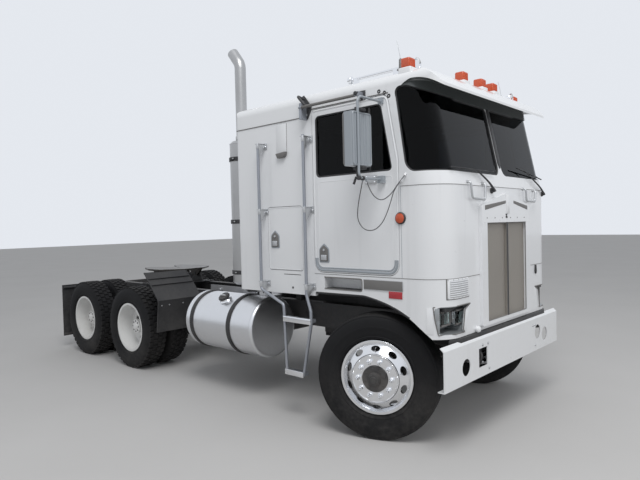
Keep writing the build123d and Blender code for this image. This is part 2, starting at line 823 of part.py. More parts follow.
# Windscreen: two panes that wrap round the corners. Columns: across, up, corner radius
windscreen_side = [
    (clear_x, 2280, 0),
    (at(420), 2280, 110),
    (at(320), 2985, 50),
    (at(430), 2985, 60),
    (at(600), 2916, 0),
    (clear_x, 2912, 0),
]
post_half = 28
windscreen_front = [
    (post_half, 2280, 80),
    (1300, 2280, 0),
    (1300, 3010, 0),
    (800, 3010, 0),
    (600, 2912, 0),
    (post_half, 2912, 50),
]
with BuildPart() as windscreen_room:
    prism(windscreen_front, front_view(at(200)), 800)
    mirror(about=Plane.XZ)
    prism(windscreen_side, side_view(), 1500, both=True, mode=Mode.INTERSECT)

# Doors and their openings. Columns: across, up, corner radius
door_table = [
    (door_back_x, door_bottom, 100),
    (door_front_x, door_bottom, 100),
    (door_front_x + 12, 2390, 150),
    (at(250), door_top, 60),
    (door_back_x, door_top, 40),
]
door_glass_table = [
    (at(-560), 2310, 40),
    (at(285), 2310, 30),
    (at(180), 2868, 50),
    (at(-560), 2868, 40),
]
luggage_table = [
    (luggage_back_x, luggage_bottom, 30),
    (luggage_front_x, luggage_bottom, 30),
    (luggage_front_x, luggage_top, 30),
    (luggage_back_x, luggage_top, 30),
]


def grown(table, gap):
    """A table's outline, grown outwards by a gap."""
    return offset(outline(table), amount=gap, kind=Kind.INTERSECTION)


room_high = roof_crown + 40
with BuildPart() as room:
    add(cab_volume(cab_wall, skirt_front_bottom - 100, room_high))
    add(roof_block(cab_wall, cab_front_corner), mode=Mode.INTERSECT)
    add(cab_volume(cab_wall, skirt_front_bottom - 100, roof_seam))

with BuildPart() as cab_shell:
    add(cab_volume(0, skirt_front_bottom - 20, room_high))
    add(room.part, mode=Mode.SUBTRACT)
    for table in (door_table, luggage_table):
        opening = side_view() * grown(table, door_gap)
        extrude(opening, amount=1500, both=True, mode=Mode.SUBTRACT)
    add(windscreen_room.part, mode=Mode.SUBTRACT)

# Cab body: sides, rear wall and windscreen frame, down to the bottom of the sleeper
with BuildPart() as cab_body:
    add(cab_shell.part)
    extrude(side_view() * outline(roof_zone_table), amount=1500, both=True, mode=Mode.SUBTRACT)
    block((skirt_back_x, clear_x), (-1500, 1500), (0, skirt_top), Mode.SUBTRACT)
    block((front_seam_x, clear_x), (-1500, 1500), (0, cowl_height), Mode.SUBTRACT)
    block((cab_back_x - 100, clear_x), (-1500, 1500), (0, cab_bottom), Mode.SUBTRACT)
    for _, points in cords:
        clip(points[-1], points[-2], clip_depth, clip_radius)
export(cab_body, "cab_body")

for name, points in cords:
    with BuildPart() as mirror_cord:
        cord(name, points, cord_radius)
    export(mirror_cord, name)

# Roof panel: the header over the windscreen, joined to the rounded cap and its visor
with BuildPart() as visor:
    add(roof_block(0))
    extrude(visor_zone.sketch, amount=1500, both=True, mode=Mode.INTERSECT)
    add(room.part, mode=Mode.SUBTRACT)
    add(windscreen_room.part, mode=Mode.SUBTRACT)
with BuildPart() as roof_panel:
    add(cab_shell.part)
    extrude(side_view() * outline(roof_zone_table), amount=1500, both=True, mode=Mode.INTERSECT)
    add(roof_block(0, cab_front_corner), mode=Mode.INTERSECT)
    add(visor.part)
export(roof_panel, "roof_panel")

# Front panel and skirt, with the grille opening, the lamp recesses and the step wells
mesh_half = 419
mesh_low = 996
mesh_high = 1853
lamp_table = [
    (700, 1190, 30),
    (1085, 1190, 40),
    (1062, 965, 30),
    (800, 965, 30),
]
well_x = (at(-489), at(-52))
well_z = (1278, 1385)
well_depth = 110
with BuildPart() as lamp_recesses:
    prism(lamp_table, front_view(at(500)), 400)
    mirror(about=Plane.XZ)
with BuildPart() as front_panel:
    add(cab_shell.part)
    extrude(front_zone.sketch, amount=1500, both=True, mode=Mode.INTERSECT)
    block((at(600), clear_x), (-mesh_half, mesh_half), (mesh_low, mesh_high), Mode.SUBTRACT)
    add(lamp_recesses.part, mode=Mode.SUBTRACT)
    for side in (-1, 1):
        low_y, high_y = sorted((side * (cab_half_width - well_depth - 5), side * (cab_half_width - cab_wall)))
        block((well_x[0] - 5, well_x[1] + 5), (low_y, high_y), (well_z[0] - 5, well_z[1] + 5))
        low_y, high_y = sorted((side * (cab_half_width - well_depth), side * (cab_half_width + 20)))
        block(well_x, (low_y, high_y), well_z, Mode.SUBTRACT)
export(front_panel, "front_panel")

# Windscreen glass fills its openings
glass_depth = 16
glass_thickness = 6
with BuildPart() as windshields:
    add(cab_volume(glass_depth, cowl_height - 50, room_high))
    add(cab_volume(glass_depth + glass_thickness, cowl_height - 60, room_high + 10), mode=Mode.SUBTRACT)
    add(windscreen_room.part, mode=Mode.INTERSECT)
export(windshields, "windshields")

# Floor with the engine tunnel and the two front hinge arms
tunnel_half = 480
tunnel_high = 1900
tunnel_back_x = at(-1080)
tunnel_front_x = cab_front_x - cab_wall
with BuildPart() as cab_floor:
    extrude(Plane.XY.offset(floor_low) * cab_plan(cab_front_x, cab_wall), amount=floor_high - floor_low)
    block((tunnel_back_x, tunnel_front_x), (-tunnel_half, tunnel_half), (floor_low, tunnel_high))
    inside_half = tunnel_half - 30
    block((tunnel_back_x + 30, tunnel_front_x), (-inside_half, inside_half), (floor_low, tunnel_high - 30), Mode.SUBTRACT)
    for side in (-1, 1):
        arm_low, arm_high = sorted((side * (hinge_y + 42), side * (hinge_y + 80)))
        block((cab_pivot[0] - 35, tunnel_front_x), (arm_low, arm_high), (cab_pivot[1], floor_low))
        rod((cab_pivot[0], arm_low, cab_pivot[1]), (cab_pivot[0], arm_high, cab_pivot[1]), 35)
        bore = pivot_pin + bearing_gap
        rod((cab_pivot[0], arm_low - 1, cab_pivot[1]), (cab_pivot[0], arm_high + 1, cab_pivot[1]), bore, Mode.SUBTRACT)
export(cab_floor, "cab_floor")

# Grille: a surround with an arched head, and its mesh with a bar down the middle
grille_back_x = cab_front_x
grille_front_x = at(783)
surround_table = [
    (-518, 965, 12),
    (518, 965, 12),
    (518, 2010, 45),
    (0, 2120, 0),
    (-518, 2010, 45),
]
with BuildPart() as grille_surround:
    prism(surround_table, front_view(grille_back_x), grille_front_x - grille_back_x)
    block((at(700), clear_x), (-mesh_half, mesh_half), (mesh_low, mesh_high), Mode.SUBTRACT)
export(grille_surround, "grille_surround")

with BuildPart() as grille_mesh:
    block((at(752), at(757)), (-mesh_half, mesh_half), (mesh_low, mesh_high))
    block((at(757), at(775)), (-10, 10), (mesh_low, mesh_high))
export(grille_mesh, "grille_mesh")

# Headlamps: a bright tray flush with the panel and two lamps in it
tray_wall = 6
with BuildPart() as headlights:
    prism(lamp_table, front_view(at(560)), 400)
    extrude(front_view(at(568)) * offset(outline(lamp_table), amount=-tray_wall), amount=400, mode=Mode.SUBTRACT)
    add(cab_volume(2, 900, cowl_height + 30), mode=Mode.INTERSECT)
    for lamp_low, lamp_high in ((735, 855), (885, 1015)):
        block((at(560), at(640)), (lamp_low, lamp_high), (1010, 1140))
    mirror(about=Plane.XZ)
export(headlights, "headlights")

# Dashboard behind the windscreen
with BuildPart() as dashboard:
    extrude(Plane.XY.offset(tunnel_high) * cab_plan(cab_front_x, cab_wall), amount=260)
    block((cab_back_x - 50, at(440)), (-1500, 1500), (0, 3000), Mode.SUBTRACT)
    dash_edges = dashboard.edges().filter_by(Axis.Y).group_by(Axis.X)[0]
    fillet(dash_edges, 60)
export(dashboard, "dashboard")

# Two seats on pedestals
seat_y = 745
cushion_half = 235
with BuildPart() as seats:
    for side in (-1, 1):
        low_y, high_y = side * seat_y - cushion_half, side * seat_y + cushion_half
        block((at(-330), at(60)), (low_y + 60, high_y - 60), (floor_high, 1760))
        block((at(-400), at(110)), (low_y, high_y), (1760, 1890))
        block((at(-520), at(-400)), (low_y, high_y), (1760, 2520))
export(seats, "seats")

wheel_centre = (at(215), seat_y, 2190)
wheel_tilt = 30
wheel_axis = Vector(-sin(radians(wheel_tilt)), 0, cos(radians(wheel_tilt)))
column_radius = 24
column_drop = wheel_centre[2] - floor_high - column_radius * sin(radians(wheel_tilt))
column_length = column_drop / cos(radians(wheel_tilt))
with BuildPart() as steering_wheel:
    with Locations(Plane(origin=wheel_centre, z_dir=wheel_axis)):
        Torus(225, 14)
    rod(wheel_centre, tuple(Vector(*wheel_centre) - wheel_axis * 20), 45)
    rod(wheel_centre, tuple(Vector(*wheel_centre) - wheel_axis * column_length), column_radius)
    for spoke_y in (-218, 218):
        rod(wheel_centre, (wheel_centre[0], seat_y + spoke_y, wheel_centre[2]), 9)
export(steering_wheel, "steering_wheel")

# Bunk across the sleeper
bunk_front_x = at(-800)
with BuildPart() as sleeper_bunk:
    extrude(Plane.XY.offset(2075) * cab_plan(cab_front_x, cab_wall), amount=150)
    block((bunk_front_x, clear_x), (-1500, 1500), (0, 3000), Mode.SUBTRACT)
export(sleeper_bunk, "sleeper_bunk")

# Doors with their glass, hung at the front edge
for name, side in both_sides():
    outer_y = side * cab_half_width
    with BuildPart() as door:
        prism(door_table, side_view(outer_y), side * cab_wall)
        window = side_view(outer_y + side * 5) * outline(door_glass_table)
        extrude(window, amount=side * 200, mode=Mode.SUBTRACT)
    export(door, f"{name}_door")
    glass_y = side * (cab_half_width - glass_depth)
    with BuildPart() as door_glass:
        prism(door_glass_table, side_view(glass_y), side * glass_thickness)
    export(door_glass, f"{name}_door_glass")
    with BuildPart() as luggage_door:
        prism(luggage_table, side_view(outer_y), side * cab_wall)
    export(luggage_door, f"{name}_luggage_door")

    # Mirror on a bracket of tube
    mirror_y = side * 1440
    with BuildPart() as mirror_arm:
        head_low, head_high = sorted((side * 1255, side * 1500))
        block((at(82), at(181)), (head_low, head_high), (2335, 2765))
        fillet(mirror_arm.edges().filter_by(Axis.Z), 22)
        bent_tube(
            [
                (mirror_x, outer_y, mirror_high),
                (mirror_x, mirror_y, mirror_high),
                (mirror_x, mirror_y, mirror_low),
                (mirror_x, outer_y, mirror_low),
            ],
            50,
            mirror_tube_radius,
        )
        block((mirror_x - 30, mirror_x + 30), sorted((outer_y, side * 1160)), (mirror_low - 30, mirror_low + 30))
        block((mirror_x - 25, mirror_x + 25), sorted((outer_y, side * 1135)), (mirror_high - 20, mirror_high + 30))
        if side < 0:
            for _, points in cords:
                clip(points[0], points[1], clip_depth, clip_radius)
    export(mirror_arm, f"{name}_mirror")

# Ladders and grab rails on both sides of the cab
ladder_y = 1200
ladder_radius = 15
top_bar_z = 2963
top_bar_radius = 12
back_rail_x = at(-1280)
front_rail_x = at(-650)
back_rail = [
    (back_rail_x, 2700),
    (back_rail_x, 1235),
    (at(-960), 1100),
    (at(-935), 450),
]
front_rail = [
    (front_rail_x, 2710),
    (front_rail_x, 1215),
    (at(-598), 1060),
    (at(-598), 950),
    (at(-712), 440),
]
with BuildPart() as side_ladders:
    for points in (back_rail, front_rail):
        with BuildLine() as rail_path:
            FilletPolyline(*[(x, ladder_y, z) for x, z in points], radius=40)
        with BuildSketch(Plane(origin=rail_path.line @ 0, z_dir=rail_path.line % 0)) as rail_section:
            Circle(ladder_radius)
        sweep(sections=rail_section.sketch, path=rail_path.wire())
    block((at(-955), at(-590)), (ladder_y - 55, ladder_y + 20), (955, 985))
    block((at(-945), at(-700)), (ladder_y - 55, ladder_y + 20), (440, 470))
    for x in (back_rail_x, front_rail_x):
        for z in (1285, 2010, 2670):
            block((x - 16, x + 16), (cab_half_width, ladder_y), (z - 22, z + 22))
    rod((at(-690), ladder_y, top_bar_z), (at(10), ladder_y, top_bar_z), top_bar_radius)
    block((at(-690), at(-660)), (cab_half_width, ladder_y), (top_bar_z - 110, top_bar_z + 40))
    block((at(-20), at(10)), (cab_half_width, ladder_y), (top_bar_z - 8, top_bar_z + 30))
    mirror(about=Plane.XZ)
export(side_ladders, "side_ladders")

# Roof lamps on the visor
lamp_half = 44
lamp_top = 3214
lamp_places = [
    (at(500), -310),
    (at(500), 50),
    (at(500), 300),
    (at(400), 1030),
    (at(400), -1030),
]
with BuildPart() as marker_lamps:
    for x, y in lamp_places:
        block((x - lamp_half, x + lamp_half), (y - lamp_half, y + lamp_half), (3050, lamp_top))
    fillet(marker_lamps.edges().filter_by(Axis.Z), 22)
    fillet(marker_lamps.edges().group_by(Axis.Z)[-1], 14)
    add(roof_block(0), mode=Mode.SUBTRACT)
export(marker_lamps, "marker_lamps")

# Air horns, one on each side of the roof. Columns: along the axis, radius, corner radius
horn_y = 935
horn_z = 3182
horn_table = [
    (at(-260), 0.1, 0),
    (at(-260), 13, 0),
    (at(300), 17, 60),
    (at(430), 38, 0),
    (at(430), 0.1, 0),
]
horn_foot_xs = (at(-210), at(220))
with BuildPart() as air_horns:
    for side in (-1, 1):
        y = side * horn_y
        turned(horn_table, (0, y, horn_z), Vector(1, 0, 0))
        for x in horn_foot_xs:
            block((x - 20, x + 20), (y - 18, y + 18), (3050, horn_z))
    add(roof_block(0), mode=Mode.SUBTRACT)
export(air_horns, "air_horns")
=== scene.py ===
"""Looks of a cab-over highway tractor unit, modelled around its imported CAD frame.

Metres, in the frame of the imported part: +X is forward, +Y is left, +Z is up and the origin is
on the ground below the middle of the vehicle.
"""

from __future__ import annotations

import json
import logging
import math
from collections.abc import Callable, Sequence
from dataclasses import dataclass
from enum import Enum

import bmesh
import bpy
from mathutils import Matrix, Vector

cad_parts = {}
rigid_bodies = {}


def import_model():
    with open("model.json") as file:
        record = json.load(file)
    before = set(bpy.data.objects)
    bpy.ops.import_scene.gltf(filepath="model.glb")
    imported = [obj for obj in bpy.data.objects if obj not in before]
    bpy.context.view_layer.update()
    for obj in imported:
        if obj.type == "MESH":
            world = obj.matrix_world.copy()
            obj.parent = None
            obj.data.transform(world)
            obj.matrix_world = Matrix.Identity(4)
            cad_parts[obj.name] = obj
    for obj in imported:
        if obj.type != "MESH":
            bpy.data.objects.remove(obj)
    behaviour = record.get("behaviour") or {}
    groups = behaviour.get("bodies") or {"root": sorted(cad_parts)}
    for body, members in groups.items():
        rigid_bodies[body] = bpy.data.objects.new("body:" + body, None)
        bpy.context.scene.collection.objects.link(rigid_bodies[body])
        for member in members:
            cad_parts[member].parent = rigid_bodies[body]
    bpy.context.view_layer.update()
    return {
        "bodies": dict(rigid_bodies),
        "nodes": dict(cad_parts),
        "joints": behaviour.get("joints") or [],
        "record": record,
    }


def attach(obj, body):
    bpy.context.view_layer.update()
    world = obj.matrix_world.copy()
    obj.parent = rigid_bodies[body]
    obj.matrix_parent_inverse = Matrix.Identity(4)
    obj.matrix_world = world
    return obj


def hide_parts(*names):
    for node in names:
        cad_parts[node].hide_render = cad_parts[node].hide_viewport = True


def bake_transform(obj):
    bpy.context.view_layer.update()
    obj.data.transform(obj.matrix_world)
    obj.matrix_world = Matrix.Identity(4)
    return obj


LOG = logging.getLogger("tractor")

# Layout, in metres from the ground and the middle of the vehicle
FRONT_AXLE_X = 2.620
DRIVE_AXLES = (("front_drive", FRONT_AXLE_X - 3.986), ("rear_drive", FRONT_AXLE_X - 5.307))
SIDES = (("right", -1), ("left", 1))
WHEEL_Z = 0.545
KINGPIN_Y = 0.890
HUB_OUT = 0.140
DRIVE_WHEEL_Y = 0.908
REST_STEER = math.radians(20.0)

# The cab's skin: flat in the middle, round at the corners, leaning back above the cowl
CAB_HALF = 1.120
CAB_FRONT = FRONT_AXLE_X + 0.750
CORNER = 0.250
FLAT = CAB_HALF - CORNER
COWL = 2.170
WINDSCREEN_LEAN = math.radians(12.0)
LIP_Y = 1.119
PLATE_Y = 1.1205

# Modelling: pinhole on the axis of a turned piece, first plane of a line, distances at which points merge
CORE = 0.0005
SEED = 0.01
DOUBLES = 0.00002
NODE_DOUBLES = 0.00005

# Angles in degrees under which an edge is shaded smooth
EDGE_SHADING = 35.0
TYRE_SHADING = 28.0
SOFT_SHADING = 60.0

# Shading: brushed lines along and up, and the part of the roof that lies in the visor's shade, where that shade is
# painted into the roof's colour
COAT_ROUGHNESS = 0.08
BUMP_DEPTH = 0.001
GAP_SHADE = 0.35
ALONG_X = (2.0, 260.0, 260.0)
ALONG_Z = (260.0, 260.0, 2.0)
LOOKS_DOWN = (-0.12, -0.40)
LOOKS_AHEAD = (0.10, 0.30)
HEADER_X = (FRONT_AXLE_X + 0.640, FRONT_AXLE_X + 0.625)
HEADER_TOP = (3.035, 3.010)
VISOR_LOW = (2.89, 2.91)

Point = tuple[float, float, float]
Pairs = tuple[tuple[float, float], ...]
Piece = bpy.types.Object


def ahead(distance: float) -> float:
    """Place along the vehicle this far ahead of the front axle."""
    return FRONT_AXLE_X + distance


def at(distance: float, y: float, z: float) -> Point:
    """Point this far ahead of the front axle."""
    return (FRONT_AXLE_X + distance, y, z)


class Slot(Enum):
    """Finishes of the vehicle, named after the record's slots where it has them."""

    WHITE = "white_paint"
    SHELL = "white_plastic"
    ALLOY = "polished_alloy"
    RIM = "rim_paint"
    DULL = "dull_alloy"
    CHROME = "chrome"
    CHASSIS = "chassis_paint"
    DECK = "deck_plate"
    EXHAUST = "exhaust_steel"
    IRON = "cast_iron"
    RUBBER = "rubber"
    TYRE = "tyre"
    MESH = "mesh"
    GLASS = "glass"
    LAMP = "lamp"
    LENS = "clear_lens"
    AMBER = "amber"
    RED = "red_lens"
    BLACK = "black_plastic"
    TRIM = "trim"
    TANK = "tank_alloy"
    ROOF = "roof_paint"
    LADDER = "ladder_alloy"
    FABRIC = "fabric"
    GREASE = "grease"
    CORD = "cord"


# Shading


class Graph:
    """A node tree that is filled by name."""

    def __init__(self, tree: bpy.types.NodeTree) -> None:
        """Start from a tree.

        Args:
            tree: Tree of a material, a world or a group.
        """
        self.tree = tree

    def node(self, kind: str, inputs: dict | None = None, **settings: object) -> bpy.types.Node:
        """Add a node.

        Args:
            kind: Node type, without the ShaderNode prefix.
            inputs: Socket name or number to a value or to a socket to wire in.
            settings: Properties of the node.

        Returns:
            The new node.
        """
        added = self.tree.nodes.new("ShaderNode" + kind)
        for name, value in settings.items():
            setattr(added, name, value)
        for key, value in (inputs or {}).items():
            if isinstance(value, bpy.types.NodeSocket):
                self.tree.links.new(value, added.inputs[key])
            else:
                added.inputs[key].default_value = value
        return added

    def maths(self, operation: str, first: object, second: object = 0.0, clamp: bool = False) -> bpy.types.NodeSocket:
        """Combine two values or sockets.

        Args:
            operation: Math node operation.
            first: Value or socket.
            second: Value or socket.
            clamp: Whether the result stays between 0 and 1.

        Returns:
            The result socket.
        """
        return self.node("Math", {0: first, 1: second}, operation=operation, use_clamp=clamp).outputs[0]

    def spread(self, value: object, low: float, high: float) -> bpy.types.NodeSocket:
        """Smooth step of a value from low to high.

        Args:
            value: Value or socket.
            low: Where the result is 0.
            high: Where the result is 1.

        Returns:
            The result socket.
        """
        made = self.node(
            "MapRange", {"Value": value, "From Min": low, "From Max": high}, interpolation_type="SMOOTHSTEP"
        )
        return made.outputs["Result"]

    def blend(self, factor: object, first: object, second: object) -> bpy.types.NodeSocket:
        """Mix two colours.

        Args:
            factor: Share of the second colour.
            first: Colour or socket.
            second: Colour or socket.

        Returns:
            The mixed colour socket.
        """
        mix = self.node("Mix", {0: factor, 6: first, 7: second}, data_type="RGBA")
        return mix.outputs[2]


class Effects:
    """Shader groups that several finishes share, each built once."""

    def __init__(self) -> None:
        """Build every group."""
        self.weathering = self._weathering()
        self.grain = self._grain()
        self.brushing = self._brushing()
        self.weave = self._weave()

    def _group(
        self, name: str, ins: Sequence[tuple[str, str, object]], outs: Sequence[tuple[str, str]]
    ) -> tuple[bpy.types.NodeTree, Graph, bpy.types.Node, bpy.types.Node]:
        """Start a group.

        Args:
            name: Name of the group.
            ins: Inputs as name, kind and default.
            outs: Outputs as name and kind.

        Returns:
            The tree, its graph, its input node and its output node.
        """
        tree = bpy.data.node_groups.new(name, "ShaderNodeTree")
        for label, kind, default in ins:
            socket = tree.interface.new_socket(label, in_out="INPUT", socket_type="NodeSocket" + kind)
            socket.default_value = default
        for label, kind in outs:
            tree.interface.new_socket(label, in_out="OUTPUT", socket_type="NodeSocket" + kind)
        return tree, Graph(tree), tree.nodes.new("NodeGroupInput"), tree.nodes.new("NodeGroupOutput")

    def _weathering(self) -> bpy.types.NodeTree:
        """Dust that gathers low down and on ledges, rain streaks and a slow mottling.

        Returns:
            The group.
        """
        tree, graph, given, result = self._group(
            "weathering",
            [
                ("Color", "Color", (0.8, 0.8, 0.8, 1.0)),
                ("Roughness", "Float", 0.4),
                ("Dust Color", "Color", (0.42, 0.38, 0.33, 1.0)),
                ("Dust", "Float", 0.3),
                ("Dust Top", "Float", 1.6),
                ("Streaks", "Float", 0.1),
                ("Mottle", "Float", 0.06),
            ],
            [("Color", "Color"), ("Roughness", "Float")],
        )
        place = graph.node("TexCoord").outputs["Object"]
        height = graph.node("SeparateXYZ", {0: place}).outputs["Z"]
        facing = graph.node("SeparateXYZ", {0: graph.node("NewGeometry").outputs["Normal"]}).outputs["Z"]
        slow = graph.node("TexNoise", {"Vector": place, "Scale": 1.7, "Detail": 5.0, "Roughness": 0.6}).outputs["Fac"]
        fine = graph.node("TexNoise", {"Vector": place, "Scale": 26.0, "Detail": 4.0}).outputs["Fac"]
        fall = graph.node("Math", {0: given.outputs["Dust Top"], 1: height}, operation="SUBTRACT").outputs[0]
        low = graph.spread(graph.maths("DIVIDE", fall, given.outputs["Dust Top"]), 0.0, 1.0)
        ledge = graph.maths("MULTIPLY", graph.spread(facing, 0.35, 0.95), 0.55)
        patch = graph.spread(
            graph.maths("ADD", graph.maths("MULTIPLY", slow, 0.7), graph.maths("MULTIPLY", fine, 0.3)), 0.34, 0.68
        )
        reach = graph.maths("ADD", low, ledge, True)
        dust = graph.maths("MULTIPLY", graph.maths("MULTIPLY", reach, patch), given.outputs["Dust"], True)
        drawn = graph.node("Mapping", {"Vector": place, "Scale": (11.0, 11.0, 0.7)}).outputs[0]
        runs = graph.node("TexNoise", {"Vector": drawn, "Scale": 1.0, "Detail": 3.0}).outputs["Fac"]
        steep = graph.spread(facing, 0.5, 0.1)
        streak = graph.maths(
            "MULTIPLY", graph.maths("MULTIPLY", graph.spread(runs, 0.58, 0.78), steep), given.outputs["Streaks"]
        )
        shade = graph.maths("MULTIPLY", graph.maths("SUBTRACT", slow, 0.5), given.outputs["Mottle"])
        value = graph.maths("ADD", graph.maths("SUBTRACT", 1.0, streak), shade)
        toned = graph.node("HueSaturation", {"Value": value, "Color": given.outputs["Color"]}).outputs[0]
        graph.tree.links.new(graph.blend(dust, toned, given.outputs["Dust Color"]), result.inputs["Color"])
        uneven = graph.maths("MULTIPLY", graph.maths("SUBTRACT", fine, 0.5), 0.12)
        rough = graph.maths(
            "ADD", given.outputs["Roughness"], graph.maths("ADD", uneven, graph.maths("MULTIPLY", dust, 0.55)), True
        )
        graph.tree.links.new(rough, result.inputs["Roughness"])
        return tree

    def _grain(self) -> bpy.types.NodeTree:
        """Moulded or cast surface grain with softer waves under it.

        Returns:
            The group.
        """
        tree, graph, given, result = self._group(
            "grain", [("Scale", "Float", 300.0), ("Waves", "Float", 0.3)], [("Height", "Float")]
        )
        place = graph.node("TexCoord").outputs["Object"]
        cells = graph.node("TexVoronoi", {"Vector": place, "Scale": given.outputs["Scale"]}).outputs["Distance"]
        soft = graph.node("TexNoise", {"Vector": place, "Scale": 6.0, "Detail": 3.0}).outputs["Fac"]
        height = graph.maths(
            "ADD", graph.maths("MULTIPLY", cells, 0.6), graph.maths("MULTIPLY", soft, given.outputs["Waves"])
        )
        graph.tree.links.new(height, result.inputs["Height"])
        return tree

    def _brushing(self) -> bpy.types.NodeTree:
        """Fine lines of a rolled or brushed metal, drawn along one axis.

        Returns:
            The group.
        """
        tree, graph, given, result = self._group(
            "brushing",
            [("Stretch", "Vector", (2.0, 260.0, 260.0)), ("Roughness", "Float", 0.3), ("Spread", "Float", 0.15)],
            [("Height", "Float"), ("Roughness", "Float")],
        )
        place = graph.node("TexCoord").outputs["Object"]
        drawn = graph.node("Mapping", {"Vector": place, "Scale": given.outputs["Stretch"]}).outputs[0]
        lines = graph.node(
            "TexNoise", {"Vector": drawn, "Scale": 1.0, "Detail": 4.0, "Roughness": 0.7}
        ).outputs["Fac"]
        smudge = graph.node("TexNoise", {"Vector": place, "Scale": 5.0, "Detail": 5.0}).outputs["Fac"]
        mixed = graph.maths("ADD", graph.maths("MULTIPLY", lines, 0.6), graph.maths("MULTIPLY", smudge, 0.4))
        swing = graph.maths("MULTIPLY", graph.maths("SUBTRACT", mixed, 0.5), given.outputs["Spread"])
        graph.tree.links.new(lines, result.inputs["Height"])
        graph.tree.links.new(graph.maths("ADD", given.outputs["Roughness"], swing, True), result.inputs["Roughness"])
        return tree

    def _weave(self) -> bpy.types.NodeTree:
        """Over-and-under weave of threads or wires, on whichever two axes the surface lies in.

        Returns:
            The group.
        """
        tree, graph, given, result = self._group(
            "weave", [("Pitch", "Float", 0.004)], [("Height", "Float"), ("Gap", "Float")]
        )
        place = graph.node("SeparateXYZ", {0: graph.node("TexCoord").outputs["Object"]})
        turn = graph.maths("DIVIDE", math.tau / 2, given.outputs["Pitch"])
        waves = [graph.maths("SINE", graph.maths("MULTIPLY", place.outputs[axis], turn)) for axis in "XYZ"]
        strands = [graph.maths("ABSOLUTE", wave) for wave in waves]
        over = graph.maths("MULTIPLY", waves[0], graph.maths("MULTIPLY", waves[1], waves[2]))
        lowest = graph.maths("MINIMUM", strands[1], strands[2])
        height = graph.maths(
            "ADD", graph.maths("MAXIMUM", strands[1], strands[2]), graph.maths("MULTIPLY", over, 0.3)
        )
        graph.tree.links.new(height, result.inputs["Height"])
        graph.tree.links.new(graph.spread(lowest, 0.55, 0.2), result.inputs["Gap"])
        return tree


@dataclass(frozen=True)
class Weather:
    """How much the road has left on a finish."""

    dust: float = 0.3
    dust_top: float = 1.6
    streaks: float = 0.08
    mottle: float = 0.06
    dust_color: tuple[float, float, float] = (0.42, 0.38, 0.33)


class Surface(Enum):
    """Fine relief of a finish."""

    PEEL = "orange peel of sprayed paint"
    BRUSHED_X = "lines along the vehicle"
    BRUSHED_Z = "upright lines"
    GRAINED = "moulded or cast grain"
    WOVEN = "threads or wires"
    RIBBED = "moulded lens ribs"


@dataclass(frozen=True)
class Finish:
    """One finish of the vehicle, built as a node material."""

    name: str
    color: tuple[float, float, float]
    roughness: float
    surface: Surface
    metallic: float = 0.0
    coat: float = 0.0
    relief: float = 0.1
    scale: float = 300.0
    weather: Weather = Weather()
    transmission: float = 0.0
    sheen: float = 0.0
    specular: float = 0.5
    ior: float = 1.5
    # Painted shade: colour that the paint takes under the visor and on the header below it; None leaves the paint
    # even
    underside: tuple[float, float, float] | None = None

    def build(self, effects: Effects) -> bpy.types.Material:
        """Make the material.

        Args:
            effects: Shared shader groups.

        Returns:
            The material.
        """
        material = bpy.data.materials.new(self.name)
        material.use_nodes = True
        graph = Graph(material.node_tree)
        shader = material.node_tree.nodes["Principled BSDF"]
        for name, value in (
            ("Metallic", self.metallic),
            ("Coat Weight", self.coat),
            ("Coat Roughness", COAT_ROUGHNESS),
            ("Transmission Weight", self.transmission),
            ("Sheen Weight", self.sheen),
            ("Specular IOR Level", self.specular),
            ("IOR", self.ior),
        ):
            shader.inputs[name].default_value = value
        rough = self.roughness
        color = (*self.color, 1.0)
        # Painted shade: faces under the visor that look down, and the front of the header below it, blend towards the
        # shade colour
        if self.underside:
            where = graph.node("TexCoord").outputs
            normal = graph.node("SeparateXYZ", {0: where["Normal"]}).outputs
            spot = graph.node("SeparateXYZ", {0: where["Object"]}).outputs
            down = graph.spread(normal["Z"], *LOOKS_DOWN)
            front = graph.maths(
                "MULTIPLY", graph.spread(normal["X"], *LOOKS_AHEAD), graph.spread(spot["X"], *HEADER_X)
            )
            header = graph.maths("MULTIPLY", front, graph.spread(spot["Z"], *HEADER_TOP))
            shaded = graph.maths(
                "MULTIPLY", graph.maths("MAXIMUM", down, header), graph.spread(spot["Z"], *VISOR_LOW)
            )
            color = graph.blend(shaded, color, (*self.underside, 1.0))
        if self.surface is Surface.PEEL:
            place = graph.node("TexCoord").outputs["Object"]
            height = graph.node("TexNoise", {"Vector": place, "Scale": self.scale, "Detail": 2.0}).outputs["Fac"]
        elif self.surface in (Surface.BRUSHED_X, Surface.BRUSHED_Z):
            stretch = ALONG_X if self.surface is Surface.BRUSHED_X else ALONG_Z
            given = {"Stretch": stretch, "Roughness": self.roughness}
            drawn = graph.node("Group", given, node_tree=effects.brushing)
            height, rough = drawn.outputs["Height"], drawn.outputs["Roughness"]
        elif self.surface is Surface.GRAINED:
            height = graph.node("Group", {"Scale": self.scale}, node_tree=effects.grain).outputs["Height"]
        elif self.surface is Surface.WOVEN:
            cloth = graph.node("Group", {"Pitch": 1.0 / self.scale}, node_tree=effects.weave)
            height = cloth.outputs["Height"]
            dark = tuple(part * GAP_SHADE for part in self.color)
            color = graph.blend(cloth.outputs["Gap"], color, (*dark, 1.0))
        else:
            place = graph.node("TexCoord").outputs["Object"]
            height = graph.node("TexWave", {"Vector": place, "Scale": self.scale}, bands_direction="Z").outputs["Fac"]
        given = {
            "Color": color,
            "Roughness": rough,
            "Dust": self.weather.dust,
            "Dust Top": self.weather.dust_top,
            "Streaks": self.weather.streaks,
            "Mottle": self.weather.mottle,
            "Dust Color": (*self.weather.dust_color, 1.0),
        }
        worn = graph.node("Group", given, node_tree=effects.weathering)
        bump = graph.node("Bump", {"Height": height, "Strength": self.relief, "Distance": BUMP_DEPTH})
        links = material.node_tree.links
        links.new(worn.outputs["Color"], shader.inputs["Base Color"])
        links.new(worn.outputs["Roughness"], shader.inputs["Roughness"])
        links.new(bump.outputs["Normal"], shader.inputs["Normal"])
        return material


